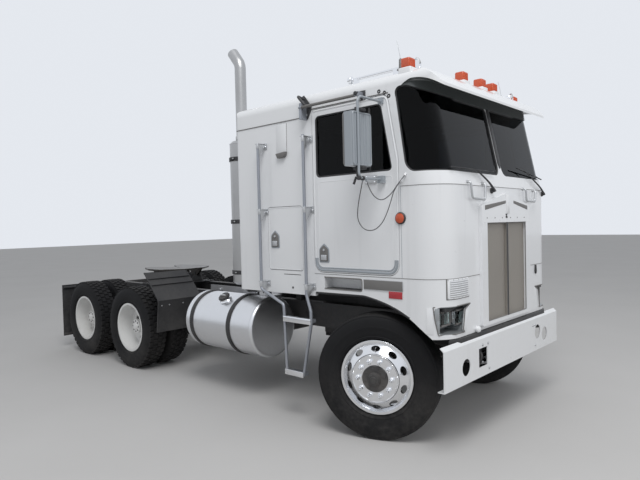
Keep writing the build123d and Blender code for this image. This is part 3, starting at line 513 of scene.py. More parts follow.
CLEAN = Weather(dust=0.1, dust_top=1.2, streaks=0.03, mottle=0.03)
WASHED = Weather(dust=0.22, dust_top=1.5, streaks=0.05, mottle=0.03, dust_color=(0.55, 0.52, 0.47))
SCUFFED = Weather(dust=0.25, dust_top=1.8, streaks=0.10, mottle=0.15)
DULLED = Weather(dust=0.15, dust_top=1.8, streaks=0.02, mottle=0.08)
GRIMY = Weather(dust=0.45, dust_top=1.4, streaks=0.1, mottle=0.25, dust_color=(0.30, 0.27, 0.24))

FINISHES = {
    Slot.WHITE: Finish(
        "white_paint", (0.80, 0.81, 0.825), 0.30, Surface.PEEL, coat=0.6, relief=0.05, scale=520.0, weather=WASHED
    ),
    # The roof's white paint, with painted shade under the visor and on the header below it
    Slot.ROOF: Finish(
        "roof_paint", (0.80, 0.81, 0.825), 0.30, Surface.PEEL, coat=0.6, relief=0.05, scale=520.0, weather=WASHED,
        underside=(0.085, 0.096, 0.096)
    ),
    # Painted shade: white plastic in the mid grey that white takes in shade, worn by mirror shells, ribs and edges,
    # latch plates, front seams and door sill beads
    Slot.SHELL: Finish(
        "mirror_shell", (0.32, 0.35, 0.38), 0.34, Surface.PEEL, coat=0.3, relief=0.05, scale=600.0, weather=CLEAN
    ),
    Slot.ALLOY: Finish(
        "polished_alloy", (0.82, 0.83, 0.85), 0.16, Surface.GRAINED, metallic=1.0, relief=0.02, scale=60.0,
        weather=Weather(0.16, 1.1, 0.02, 0.06)
    ),
    Slot.RIM: Finish(
        "rim_paint", (0.80, 0.80, 0.79), 0.42, Surface.PEEL, coat=0.2, relief=0.08, scale=420.0,
        weather=Weather(0.28, 1.2, 0.10, 0.08, (0.50, 0.46, 0.40))
    ),
    Slot.TANK: Finish(
        "tank_alloy", (0.74, 0.75, 0.77), 0.30, Surface.GRAINED, metallic=1.0, relief=0.03, scale=50.0,
        weather=Weather(0.22, 1.1, 0.03, 0.10)
    ),
    Slot.LADDER: Finish(
        "ladder_alloy", (0.34, 0.36, 0.40), 0.45, Surface.BRUSHED_Z, metallic=0.6, relief=0.08, weather=SCUFFED
    ),
    Slot.DULL: Finish(
        "dull_alloy", (0.56, 0.57, 0.58), 0.42, Surface.BRUSHED_Z, metallic=0.85, relief=0.08, weather=SCUFFED
    ),
    Slot.CHROME: Finish(
        "chrome", (0.88, 0.89, 0.91), 0.07, Surface.PEEL, metallic=1.0, relief=0.01, scale=90.0, weather=CLEAN
    ),
    Slot.CHASSIS: Finish(
        "chassis_paint", (0.035, 0.035, 0.038), 0.55, Surface.GRAINED, relief=0.25, scale=240.0, weather=GRIMY
    ),
    Slot.DECK: Finish(
        "deck_alloy", (0.40, 0.40, 0.41), 0.45, Surface.BRUSHED_X, metallic=0.8, relief=0.1, weather=GRIMY
    ),
    Slot.EXHAUST: Finish(
        "exhaust_steel", (0.46, 0.46, 0.46), 0.34, Surface.BRUSHED_Z, metallic=0.9, relief=0.08,
        weather=Weather(0.10, 2.4, 0.30, 0.35, (0.30, 0.24, 0.18))
    ),
    Slot.IRON: Finish(
        "cast_iron", (0.055, 0.055, 0.058), 0.6, Surface.GRAINED, metallic=0.3, relief=0.5, scale=180.0, weather=GRIMY
    ),
    Slot.RUBBER: Finish(
        "moulded_rubber", (0.022, 0.022, 0.024), 0.62, Surface.GRAINED, relief=0.2, scale=420.0,
        weather=Weather(0.42, 1.4, 0.04, 0.2, (0.20, 0.19, 0.18))
    ),
    Slot.TYRE: Finish(
        "tyre_rubber", (0.009, 0.009, 0.010), 0.75, Surface.GRAINED, relief=0.22, scale=340.0, specular=0.25,
        weather=Weather(0.32, 0.8, 0.05, 0.3, (0.16, 0.15, 0.14))
    ),
    Slot.MESH: Finish(
        "insect_screen", (0.43, 0.40, 0.36), 0.55, Surface.WOVEN, metallic=0.35, relief=0.5, scale=260.0,
        weather=Weather(0.35, 2.2, 0.06, 0.12)
    ),
    # Painted shade: the dark glass colour darkens the cab's inside seen through it, in place of the shade that falls
    # there
    Slot.GLASS: Finish(
        "tinted_glass", (0.030, 0.038, 0.048), 0.03, Surface.PEEL, relief=0.006, scale=8.0,
        weather=Weather(0.05, 2.6, 0.02, 0.0), transmission=1.0, ior=1.22
    ),
    Slot.LAMP: Finish(
        "lamp_tray", (0.36, 0.38, 0.39), 0.34, Surface.RIBBED, metallic=0.5, relief=0.2, scale=30.0, weather=CLEAN
    ),
    Slot.LENS: Finish(
        "clear_lens", (0.66, 0.74, 0.72), 0.08, Surface.RIBBED, relief=0.3, scale=22.0, weather=CLEAN,
        transmission=1.0
    ),
    Slot.AMBER: Finish(
        "amber_lens", (0.66, 0.095, 0.025), 0.22, Surface.RIBBED, relief=0.5, coat=0.5, scale=34.0, weather=CLEAN,
        transmission=0.15
    ),
    Slot.RED: Finish(
        "red_lens", (0.42, 0.02, 0.03), 0.25, Surface.RIBBED, relief=0.5, coat=0.5, scale=34.0, weather=CLEAN
    ),
    Slot.BLACK: Finish(
        "black_plastic", (0.028, 0.028, 0.030), 0.5, Surface.GRAINED, relief=0.25, scale=500.0, weather=DULLED
    ),
    Slot.TRIM: Finish(
        "grey_trim", (0.17, 0.165, 0.16), 0.6, Surface.GRAINED, relief=0.25, scale=380.0, weather=DULLED
    ),
    Slot.FABRIC: Finish(
        "seat_cloth", (0.12, 0.12, 0.135), 0.85, Surface.WOVEN, relief=0.6, scale=420.0,
        weather=Weather(0.1, 1.0, 0.0, 0.15), sheen=0.3
    ),
    Slot.GREASE: Finish(
        "greased_plate", (0.05, 0.045, 0.04), 0.30, Surface.GRAINED, metallic=0.6, relief=0.3, scale=90.0,
        weather=GRIMY
    ),
    Slot.CORD: Finish(
        "cord_jacket", (0.10, 0.10, 0.105), 0.45, Surface.GRAINED, relief=0.15, scale=700.0, weather=CLEAN
    ),
}

NODE_FINISHES = {"fuel_tanks": Slot.TANK, "roof_panel": Slot.ROOF, "side_ladders": Slot.LADDER}


class Wardrobe:
    """Every finish as a built material, and the means to put one on."""

    def __init__(self) -> None:
        """Build the shader groups and the materials."""
        effects = Effects()
        self.materials = {slot: finish.build(effects) for slot, finish in FINISHES.items()}
        self.nodes: dict[str, Piece] = {}

    def dress_nodes(self, frame: dict) -> None:
        """Give each CAD node the finish of its record slot.
        """
        self.nodes = dict(frame["nodes"])
        wanted = {part["node"]: part["material_slot"] for part in frame["record"]["subparts"]}
        for name, node in frame["nodes"].items():
            material = self.materials[NODE_FINISHES.get(name, Slot(wanted[name]))]
            for place in node.material_slots:
                place.material = material
            if not node.material_slots:
                node.data.materials.append(material)

    def finish(self, piece: Piece, slot: Slot, body: str, smooth: float = EDGE_SHADING) -> Piece:
        """Finish a piece: its material, its shading and its body.

        Args:
            piece: The modelled piece.
            slot: Finish to wear.
            body: CAD body that it moves with.
            smooth: Angle in degrees under which an edge is shaded smooth.

        Returns:
            The piece.
        """
        Bench.pick(piece)
        piece.data.materials.clear()
        piece.data.materials.append(self.materials[slot])
        bpy.ops.object.shade_smooth_by_angle(angle=math.radians(smooth))
        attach(piece, body)
        LOG.info("%s rides on %s in %s", piece.name, body, slot.value)
        return piece


# Modelling


class Bench:
    """The bench: primitives shaped with Blender's own operators, as by hand."""

    @staticmethod
    def pick(*pieces: Piece) -> None:
        """Select these objects alone, the last one active."""
        if bpy.context.object and bpy.context.object.mode != "OBJECT":
            bpy.ops.object.mode_set(mode="OBJECT")
        bpy.ops.object.select_all(action="DESELECT")
        for piece in pieces:
            piece.select_set(True)
            bpy.context.view_layer.objects.active = piece

    @staticmethod
    def named(name: str) -> Piece:
        """Name the active object.

        Args:
            name: Name of the piece.

        Returns:
            The object.
        """
        piece = bpy.context.object
        piece.name = name
        piece.data.name = name
        return piece

    @staticmethod
    def settle(piece: Piece) -> Piece:
        """Put the object's place into its mesh.

        Args:
            piece: Object to settle.

        Returns:
            The same object, at the origin.
        """
        Bench.pick(piece)
        bpy.ops.object.transform_apply(location=True, rotation=True, scale=True)
        return piece

    @staticmethod
    def rounded(piece: Piece, width: float, segments: int = 2, angle: float = 30.0) -> Piece:
        """Bevel the sharp edges.

        Args:
            piece: Object to bevel.
            width: Width of the bevel.
            segments: Steps in the bevel.
            angle: Edges sharper than this many degrees are bevelled.

        Returns:
            The same object.
        """
        Bench.pick(piece)
        bevel = piece.modifiers.new("edges", "BEVEL")
        bevel.width = width
        bevel.segments = segments
        bevel.limit_method = "ANGLE"
        bevel.angle_limit = math.radians(angle)
        bpy.ops.object.modifier_apply(modifier=bevel.name)
        return piece

    @staticmethod
    def block(
        name: str, low: Sequence[float], high: Sequence[float], edge: float = 0.003, segments: int = 2
    ) -> Piece:
        """Cube primitive stretched between two corners, with bevelled edges.

        Args:
            name: Name of the piece.
            low: One corner.
            high: The opposite corner.
            edge: Bevel width.
            segments: Steps in the bevel.

        Returns:
            The piece.
        """
        first, last = Vector(low), Vector(high)
        Bench.pick()
        bpy.ops.mesh.primitive_cube_add(size=1.0, location=(first + last) / 2)
        piece = Bench.named(name)
        piece.scale = [abs(part) for part in last - first]
        Bench.settle(piece)
        return Bench.rounded(piece, edge, segments) if edge > 0 else piece

    @staticmethod
    def rod(
        name: str, start: Sequence[float], end: Sequence[float], radius: float, sides: int = 20, edge: float = 0.0015
    ) -> Piece:
        """Round bar between two points, with softened ends.

        Args:
            name: Name of the piece.
            start: Centre of one end.
            end: Centre of the other end.
            radius: Radius of the bar.
            sides: Number of faces round it.
            edge: Bevel width at the ends.

        Returns:
            The piece.
        """
        first, last = Vector(start), Vector(end)
        along = last - first
        Bench.pick()
        turn = along.to_track_quat("Z", "Y").to_euler()
        bpy.ops.mesh.primitive_cylinder_add(
            vertices=sides, radius=radius, depth=along.length, location=(first + last) / 2, rotation=turn
        )
        piece = Bench.settle(Bench.named(name))
        return Bench.rounded(piece, edge, 2, 50.0) if edge > 0 else piece

    @staticmethod
    def chain(points: Sequence[Sequence[float]], closed: bool) -> Piece:
        """Draw a line of edges: a plane merged to one point, then extruded from point to point.

        Args:
            points: Corners of the line.
            closed: Whether the last point joins the first.

        Returns:
            The mesh object, left in edit mode with everything selected.
        """
        stops = [Vector(point) for point in points]
        Bench.pick()
        bpy.ops.mesh.primitive_plane_add(size=SEED, location=stops[0])
        bpy.ops.object.transform_apply(location=True, rotation=True, scale=True)
        bpy.ops.object.mode_set(mode="EDIT")
        bpy.ops.mesh.select_mode(type="VERT")
        bpy.ops.mesh.select_all(action="SELECT")
        bpy.ops.mesh.merge(type="CENTER")
        for before, after in zip(stops, stops[1:]):
            bpy.ops.mesh.extrude_region_move(TRANSFORM_OT_translate={"value": after - before})
        if closed:
            shape = bmesh.from_edit_mesh(bpy.context.object.data)
            shape.verts.ensure_lookup_table()
            for vertex in shape.verts:
                vertex.select_set(vertex.index in (0, len(stops) - 1))
            shape.select_flush_mode()
            bmesh.update_edit_mesh(bpy.context.object.data)
            bpy.ops.mesh.edge_face_add()
        bpy.ops.mesh.select_all(action="SELECT")
        return bpy.context.object

    @staticmethod
    def tidy() -> Piece:
        """Merge doubles, turn the faces outwards and leave edit mode.

        Returns:
            The active object.
        """
        bpy.ops.mesh.select_all(action="SELECT")
        bpy.ops.mesh.remove_doubles(threshold=DOUBLES)
        bpy.ops.mesh.normals_make_consistent(inside=False)
        bpy.ops.object.mode_set(mode="OBJECT")
        return bpy.context.object

    @staticmethod
    def turned(name: str, profile: Sequence[tuple[float, float]], steps: int = 64) -> Piece:
        """Spin a closed profile about the X axis at the origin.

        Args:
            name: Name of the piece.
            profile: Points as distance along the axis and radius.
            steps: Steps round the turn.

        Returns:
            The piece.
        """
        Bench.chain([(along, 0.0, radius) for along, radius in profile], True)
        bpy.ops.mesh.spin(steps=steps, angle=math.tau, center=(0, 0, 0), axis=(1, 0, 0))
        Bench.tidy()
        return Bench.named(name)

    @staticmethod
    def placed(piece: Piece, centre: Sequence[float], axle: Sequence[float]) -> Piece:
        """Move a piece that was modelled along X to its centre and axle.

        Args:
            piece: Piece modelled about the X axis.
            centre: Where its origin goes.
            axle: Direction that its X axis takes.

        Returns:
            The same piece.
        """
        turn = Vector(axle).to_track_quat("X", "Z").to_matrix().to_4x4()
        piece.data.transform(Matrix.Translation(Vector(centre)) @ turn)
        return piece

    @staticmethod
    def slab(
        name: str, outline: Sequence[Sequence[float]], push: Sequence[float], edge: float = 0.002, segments: int = 2
    ) -> Piece:
        """Fill an outline and extrude it.

        Args:
            name: Name of the piece.
            outline: Corners of a flat face.
            push: Extrusion vector.
            edge: Bevel width.
            segments: Steps in the bevel.

        Returns:
            The piece.
        """
        Bench.chain(outline, True)
        bpy.ops.mesh.edge_face_add()
        bpy.ops.mesh.extrude_region_move(TRANSFORM_OT_translate={"value": Vector(push)})
        Bench.tidy()
        piece = Bench.named(name)
        return Bench.rounded(piece, edge, segments) if edge > 0 else piece

    @staticmethod
    def tube(
        name: str, points: Sequence[Sequence[float]], radius: float, bend: float = 0.0, closed: bool = False,
        sides: int = 4, steps: int = 5
    ) -> Piece:
        """Round tube along a line, its corners bevelled into bends.

        Args:
            name: Name of the piece.
            points: Corners of the line.
            radius: Radius of the tube.
            bend: How far from a corner its bend begins.
            closed: Whether the tube closes on itself.
            sides: Bevel resolution of the round section.
            steps: Steps in each bend.

        Returns:
            The piece.
        """
        Bench.chain(points, closed)
        if bend > 0:
            bpy.ops.mesh.bevel(affect="VERTICES", offset=bend, segments=steps, clamp_overlap=True)
        bpy.ops.object.mode_set(mode="OBJECT")
        bpy.ops.object.convert(target="CURVE")
        path = bpy.context.object
        path.data.bevel_depth = radius
        path.data.bevel_resolution = sides
        path.data.use_fill_caps = True
        bpy.ops.object.convert(target="MESH")
        bpy.ops.object.mode_set(mode="EDIT")
        Bench.tidy()
        return Bench.named(name)

    @staticmethod
    def twin(source: Piece, name: str, move: Matrix) -> Piece:
        """Copy a modelled piece, with its own mesh, to another place.

        Args:
            source: Piece to copy.
            name: Name of the copy.
            move: Transform of the copy.

        Returns:
            The copy.
        """
        copy = source.copy()
        copy.data = source.data.copy()
        copy.name = name
        copy.data.name = name
        bpy.context.scene.collection.objects.link(copy)
        copy.data.transform(move)
        if move.determinant() < 0:
            copy.data.flip_normals()
        return copy

    @staticmethod
    def joined(name: str, pieces: Sequence[Piece]) -> Piece:
        """Join pieces into one object.

        Args:
            name: Name of the whole.
            pieces: Pieces to join.

        Returns:
            The whole.
        """
        Bench.pick(*pieces)
        if len(pieces) > 1:
            bpy.ops.object.join()
        return Bench.named(name)

    @staticmethod
    def scattered(name: str, source: Piece, moves: Sequence[Matrix]) -> Piece:
        """Replace one modelled piece by copies at several places, as one object.

        Args:
            name: Name of the whole.
            source: The one that was modelled.
            moves: Transform of each copy.

        Returns:
            The whole.
        """
        copies = [Bench.twin(source, f"{name}_{number}", move) for number, move in enumerate(moves)]
        bpy.data.objects.remove(source)
        return Bench.joined(name, copies)


def facing(centre: Sequence[float], direction: Sequence[float], spin: float = 0.0) -> Matrix:
    """Transform that puts a piece modelled along X at a place, looking a given way.

    Args:
        centre: Where the piece's origin goes.
        direction: Direction that its X axis takes.
        spin: Turn about that axis first, in radians.

    Returns:
        The transform.
    """
    turn = Vector(direction).to_track_quat("X", "Z").to_matrix().to_4x4()
    return Matrix.Translation(Vector(centre)) @ turn @ Matrix.Rotation(spin, 4, "X")


def nut(name: str, radius: float, length: float) -> Piece:
    """Flanged hexagon nut with a domed end, modelled along X from the origin.

    Args:
        name: Name of the piece.
        radius: Radius over the corners.
        length: Length of the nut.

    Returns:
        The piece.
    """
    Bench.pick()
    bpy.ops.mesh.primitive_cylinder_add(
        vertices=6, radius=radius, depth=length, location=(length / 2, 0, 0), rotation=(0, math.pi / 2, 0)
    )
    body = Bench.rounded(Bench.settle(Bench.named(name + "_hex")), radius * 0.12, 2, 40.0)
    flange = Bench.turned(name + "_flange", [
        (0.0, CORE), (0.0, radius * 1.22), (length * 0.12, radius * 1.18), (length * 0.2, radius * 0.9),
        (length * 0.2, CORE)
    ], 20)
    stud = Bench.turned(name + "_stud", [
        (length * 0.9, CORE), (length * 0.9, radius * 0.62), (length * 1.12, radius * 0.55),
        (length * 1.25, radius * 0.3), (length * 1.28, CORE)
    ], 16)
    return Bench.joined(name, [body, flange, stud])


def rivet(name: str, radius: float) -> Piece:
    """Low domed rivet head, modelled along X from the origin.

    Args:
        name: Name of the piece.
        radius: Radius of the head.

    Returns:
        The piece.
    """
    profile = [
        (-0.002, 0.0003), (-0.002, radius), (radius * 0.18, radius * 0.92), (radius * 0.42, radius * 0.55),
        (radius * 0.5, 0.0003)
    ]
    return Bench.turned(name, profile, 12)


# The studio


@dataclass
class Studio:
    """Camera of the photograph, soft lamps, a pale floor and a pale world."""

    eye: Point = (5.518, -4.895, 1.874)
    azimuth: float = 42.30
    elevation: float = 1.65
    roll: float = -1.366
    lens: float = 30.86
    sensor: float = 36.0
    sight: float = 200.0
    key_power: float = 640.0
    lamps: tuple[tuple[str, Point, float, float, float], ...] = (
        ("key_lamp", (0.47, -0.44, 0.77), 12.0, 5.0, 1.0),
        ("front_lamp", (0.95, 0.10, 0.30), 12.0, 6.0, 0.22),
    )
    lit: Point = (0.8, 0.0, 1.4)
    fill: float = 0.50
    floor_size: float = 120.0

    def build(self) -> None:
        """Place the camera, the lamps, the floor and the world."""
        self._camera()
        self._floor()
        self._world()
        for name, direction, distance, size, share in self.lamps:
            self._lamp(name, Vector(direction), distance, size, self.key_power * share)

    def _camera(self) -> None:
        """Camera at the photograph's place and angle."""
        turn, lift, roll = (math.radians(value) for value in (self.azimuth, self.elevation, self.roll))
        back = Vector((math.sin(turn) * math.cos(lift), -math.cos(turn) * math.cos(lift), math.sin(lift)))
        side = Vector((math.cos(turn), math.sin(turn), 0.0))
        up = back.cross(side)
        right = side * math.cos(roll) + up * math.sin(roll)
        top = up * math.cos(roll) - side * math.sin(roll)
        data = bpy.data.cameras.new("camera")
        data.lens = self.lens
        data.sensor_width = self.sensor
        data.clip_end = self.sight
        camera = bpy.data.objects.new("camera", data)
        bpy.context.scene.collection.objects.link(camera)
        pose = Matrix((right, top, back)).transposed().to_4x4()
        camera.matrix_world = Matrix.Translation(Vector(self.eye)) @ pose
        bpy.context.scene.camera = camera

    def _lamp(self, name: str, direction: Vector, distance: float, size: float, power: float) -> None:
        """Add a soft area lamp that looks at the vehicle.

        Args:
            name: Name of the lamp.
            direction: From the vehicle towards the lamp.
            distance: Distance of the lamp.
            size: Width of the lamp.
            power: Its power in watts.
        """
        data = bpy.data.lights.new(name, "AREA")
        data.size = size
        data.energy = power
        lamp = bpy.data.objects.new(name, data)
        lamp.visible_glossy = name == "key_lamp"
        bpy.context.scene.collection.objects.link(lamp)
        place = Matrix.Translation(Vector(self.lit) + direction.normalized() * distance)
        lamp.matrix_world = place @ direction.to_track_quat("Z", "Y").to_matrix().to_4x4()

    def _floor(self) -> None:
        """Plain pale floor."""
        Bench.pick()
        bpy.ops.mesh.primitive_plane_add(size=self.floor_size, location=(0, 0, 0))
        floor = Bench.named("floor")
        material = bpy.data.materials.new("floor")
        material.use_nodes = True
        graph = Graph(material.node_tree)
        shader = material.node_tree.nodes["Principled BSDF"]
        place = graph.node("TexCoord").outputs["Object"]
        slow = graph.node("TexNoise", {"Vector": place, "Scale": 0.6, "Detail": 4.0}).outputs["Fac"]
        graph.tree.links.new(
            graph.blend(slow, (0.54, 0.53, 0.52, 1), (0.60, 0.59, 0.58, 1)), shader.inputs["Base Color"]
        )
        shader.inputs["Roughness"].default_value = 0.9
        floor.data.materials.append(material)

    def _world(self) -> None:
        """Plain light all round, with a paler background for the eye, gloss and glass."""
        world = bpy.data.worlds.new("studio")
        world.use_nodes = True
        bpy.context.scene.world = world
        graph = Graph(world.node_tree)
        world.node_tree.nodes.clear()
        rays = graph.node("LightPath").outputs
        seen = graph.maths(
            "ADD", graph.maths("ADD", rays["Is Camera Ray"], rays["Is Glossy Ray"]), rays["Is Transmission Ray"], True
        )
        light = graph.node("Background", {"Color": (0.93, 0.96, 1.0, 1), "Strength": self.fill})
        shown = graph.node("Background", {"Color": (0.78, 0.81, 0.86, 1), "Strength": 1.0})
        mixed = graph.node("MixShader", {0: seen, 1: light.outputs[0], 2: shown.outputs[0]})
        graph.node("OutputWorld", {0: mixed.outputs[0]})


# Cords


@dataclass
class MirrorCords:
    """Two free cords between the right-hand mirror bracket and the cab."""

    diameter: float = 0.008
    short_route: tuple[Point, ...] = (
        at(0.190, -1.340, 2.213),
        at(0.200, -1.306, 2.116),
        at(0.268, -1.262, 2.046),
        at(0.342, -1.226, 2.096),
        at(0.390, -1.190, 2.186),
        at(0.416, -1.134, 2.252),
    )
    long_route: tuple[Point, ...] = (
        at(0.182, -1.385, 2.213),
        at(0.132, -1.358, 2.112),
        at(0.084, -1.330, 2.006),
        at(0.056, -1.304, 1.903),
        at(0.100, -1.278, 1.818),
        at(0.190, -1.256, 1.808),
        at(0.262, -1.238, 1.868),
        at(0.305, -1.222, 1.962),
        at(0.333, -1.206, 2.058),
        at(0.350, -1.184, 2.146),
        at(0.372, -1.134, 2.204),
    )

    def build(self, wardrobe: Wardrobe) -> None:
        """Lay both cords.

        Args:
            wardrobe: Finishes.
        """
        self._cord(wardrobe, "short_cord", self.short_route, "short_mirror_cord")
        self._cord(wardrobe, "long_cord", self.long_route, "long_mirror_cord")

    def _cord(self, wardrobe: Wardrobe, name: str, route: Sequence[Point], node: str) -> None:
        """Lay one cord as a tube about a NURBS line.

        Args:
            wardrobe: Finishes.
            name: Name of the cord.
            route: Control points of its line.
            node: CAD node that it stands for.
        """
        data = bpy.data.curves.new(name, "CURVE")
        data.dimensions = "3D"
        spline = data.splines.new("NURBS")
        spline.points.add(len(route) - 1)
        for point, place in zip(spline.points, route):
            point.co = (*place, 1.0)
        spline.order_u = 3
        spline.use_endpoint_u = True
        spline.resolution_u = 10
        line = bpy.data.objects.new(name + "_line", data)
        bpy.context.scene.collection.objects.link(line)
        bpy.context.view_layer.update()
        drawn = bpy.data.meshes.new_from_object(line)
        data.bevel_depth = self.diameter / 2
        data.bevel_resolution = 3
        data.use_fill_caps = True
        Bench.pick(line)
        bpy.ops.object.convert(target="MESH")
        cord = Bench.named(name)
        cord.data.materials.clear()
        cord.data.materials.append(wardrobe.materials[Slot.CORD])
        bpy.ops.object.shade_smooth_by_angle(angle=math.radians(SOFT_SHADING))
        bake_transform(cord)
        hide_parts(node)


# Where things lie on the cab


def around(reach: float, height: float, proud: float = 0.0) -> Point:
    """Point on the cab's skin, by the distance round it from the middle of the front.

    Args:
        reach: Distance round the front, negative on the right-hand side.
        height: Height above the ground.
        proud: Distance out from the skin.

    Returns:
        The point.
    """
    side = 1 if reach >= 0 else -1
    lean = max(0.0, height - COWL) * math.tan(WINDSCREEN_LEAN)
    centre = CAB_FRONT - CORNER - lean
    angle = (abs(reach) - FLAT) / CORNER
    if angle <= 0:
        return (centre + CORNER + proud, reach, height)
    if angle >= math.pi / 2:
        return (centre - (angle - math.pi / 2) * CORNER, side * (CAB_HALF + proud), height)
    return (centre + (CORNER + proud) * math.cos(angle), side * (FLAT + (CORNER + proud) * math.sin(angle)), height)


def reach_at(distance: float) -> float:
    """Distance round the cab to the place on its side that lies this far ahead of the front axle."""
    return FLAT + CORNER * math.pi / 2 + (CAB_FRONT - CORNER - ahead(distance))


def reach_of(y: float) -> float:
    """Distance round the cab to the place on its front or corner that lies this far from the middle."""
    return FLAT + CORNER * math.asin(min(1.0, (y - FLAT) / CORNER)) if y > FLAT else y


def band(low: float, high: float, height: float, proud: float, steps: int = 16) -> list[Point]:
    """Points round the cab's skin at one height.

    Args:
        low: Distance round the front where the line starts.
        high: Where it ends.
        height: Height above the ground.
        proud: Distance out from the skin.
        steps: Number of runs.

    Returns:
        The points.
    """
    return [around(low + (high - low) * step / steps, height, proud) for step in range(steps + 1)]


@dataclass
class Assembly:
    """One part of the vehicle, modelled and dressed together, most of it riding on one body."""

    wardrobe: Wardrobe
    carrier: str = "cab"

    def wear(self, piece: Piece, slot: Slot, body: str = "", smooth: float = EDGE_SHADING) -> Piece:
        """Dress a piece and let it ride on a body, or on the carrier if none is given."""
        return self.wardrobe.finish(piece, slot, body or self.carrier, smooth)

    def make(
        self, kind: Callable[..., Piece], slot: Slot, name: str, *sizes: object, body: str = "", **more: object
    ) -> Piece:
        """Model a piece on the bench and dress it.

        Args:
            kind: Way of modelling it.
            slot: Finish to wear.
            name: Name of the piece.
            sizes: What the way of modelling takes after the name.
            body: CAD body that it moves with, if not the carrier.
            more: What the way of modelling takes by name.

        Returns:
            The piece.
        """
        return self.wear(kind(name, *sizes, **more), slot, body)

    def curved_plate(
        self, name: str, low: float, high: float, bottom: float, top: float, proud: float, thickness: float
    ) -> Piece:
        """Plate that follows the cab's skin.

        Args:
            name: Name of the piece.
            low: Distance round the front where it starts.
            high: Where it ends.
            bottom: Its lower edge.
            top: Its upper edge.
            proud: Distance of its middle from the skin.
            thickness: Its thickness.

        Returns:
            The piece.
        """
        lower = band(low, high, bottom, proud)
        Bench.chain(lower, False)
        lean = Vector(around(low, top, proud)) - Vector(around(low, bottom, proud))
        bpy.ops.mesh.extrude_region_move(TRANSFORM_OT_translate={"value": lean})
        piece = Bench.tidy()
        wall = piece.modifiers.new("wall", "SOLIDIFY")
        wall.thickness = thickness
        wall.offset = 0.0
        Bench.pick(piece)
        bpy.ops.object.modifier_apply(modifier=wall.name)
        return Bench.rounded(Bench.named(name), thickness * 0.3, 2, 50.0)

    def node_edges(self, name: str, node: str, radius: float, sharpness: float = 50.0) -> Piece:
        """Bead along the sharp edges of a CAD node, such as the rubber round a pane.

        Args:
            name: Name of the piece.
            node: CAD node to follow.
            radius: Radius of the bead.
            sharpness: Edges sharper than this many degrees carry the bead.

        Returns:
            The piece.
        """
        source = self.wardrobe.nodes[node]
        copy = Bench.twin(source, name, Matrix.Identity(4))
        copy.parent = None
        for key in list(copy.keys()):
            del copy[key]
        Bench.pick(copy)
        bpy.ops.object.mode_set(mode="EDIT")
        bpy.ops.mesh.select_mode(type="EDGE")
        bpy.ops.mesh.select_all(action="SELECT")
        bpy.ops.mesh.remove_doubles(threshold=NODE_DOUBLES)
        bpy.ops.mesh.select_all(action="DESELECT")
        bpy.ops.mesh.edges_select_sharp(sharpness=math.radians(sharpness))
        shape = bmesh.from_edit_mesh(copy.data)
        blunt = [edge for edge in shape.edges if not edge.select]
        bmesh.ops.delete(shape, geom=shape.faces[:], context="FACES_ONLY")
        bmesh.ops.delete(shape, geom=blunt, context="EDGES")
        bmesh.update_edit_mesh(copy.data)
        bpy.ops.object.mode_set(mode="OBJECT")
        bpy.ops.object.convert(target="CURVE")
        path = bpy.context.object
        path.data.bevel_depth = radius
        path.data.bevel_resolution = 2
        path.data.use_fill_caps = True
        bpy.ops.object.convert(target="MESH")
        bpy.ops.object.mode_set(mode="EDIT")
        Bench.tidy()
        return Bench.named(name)


# Wheels


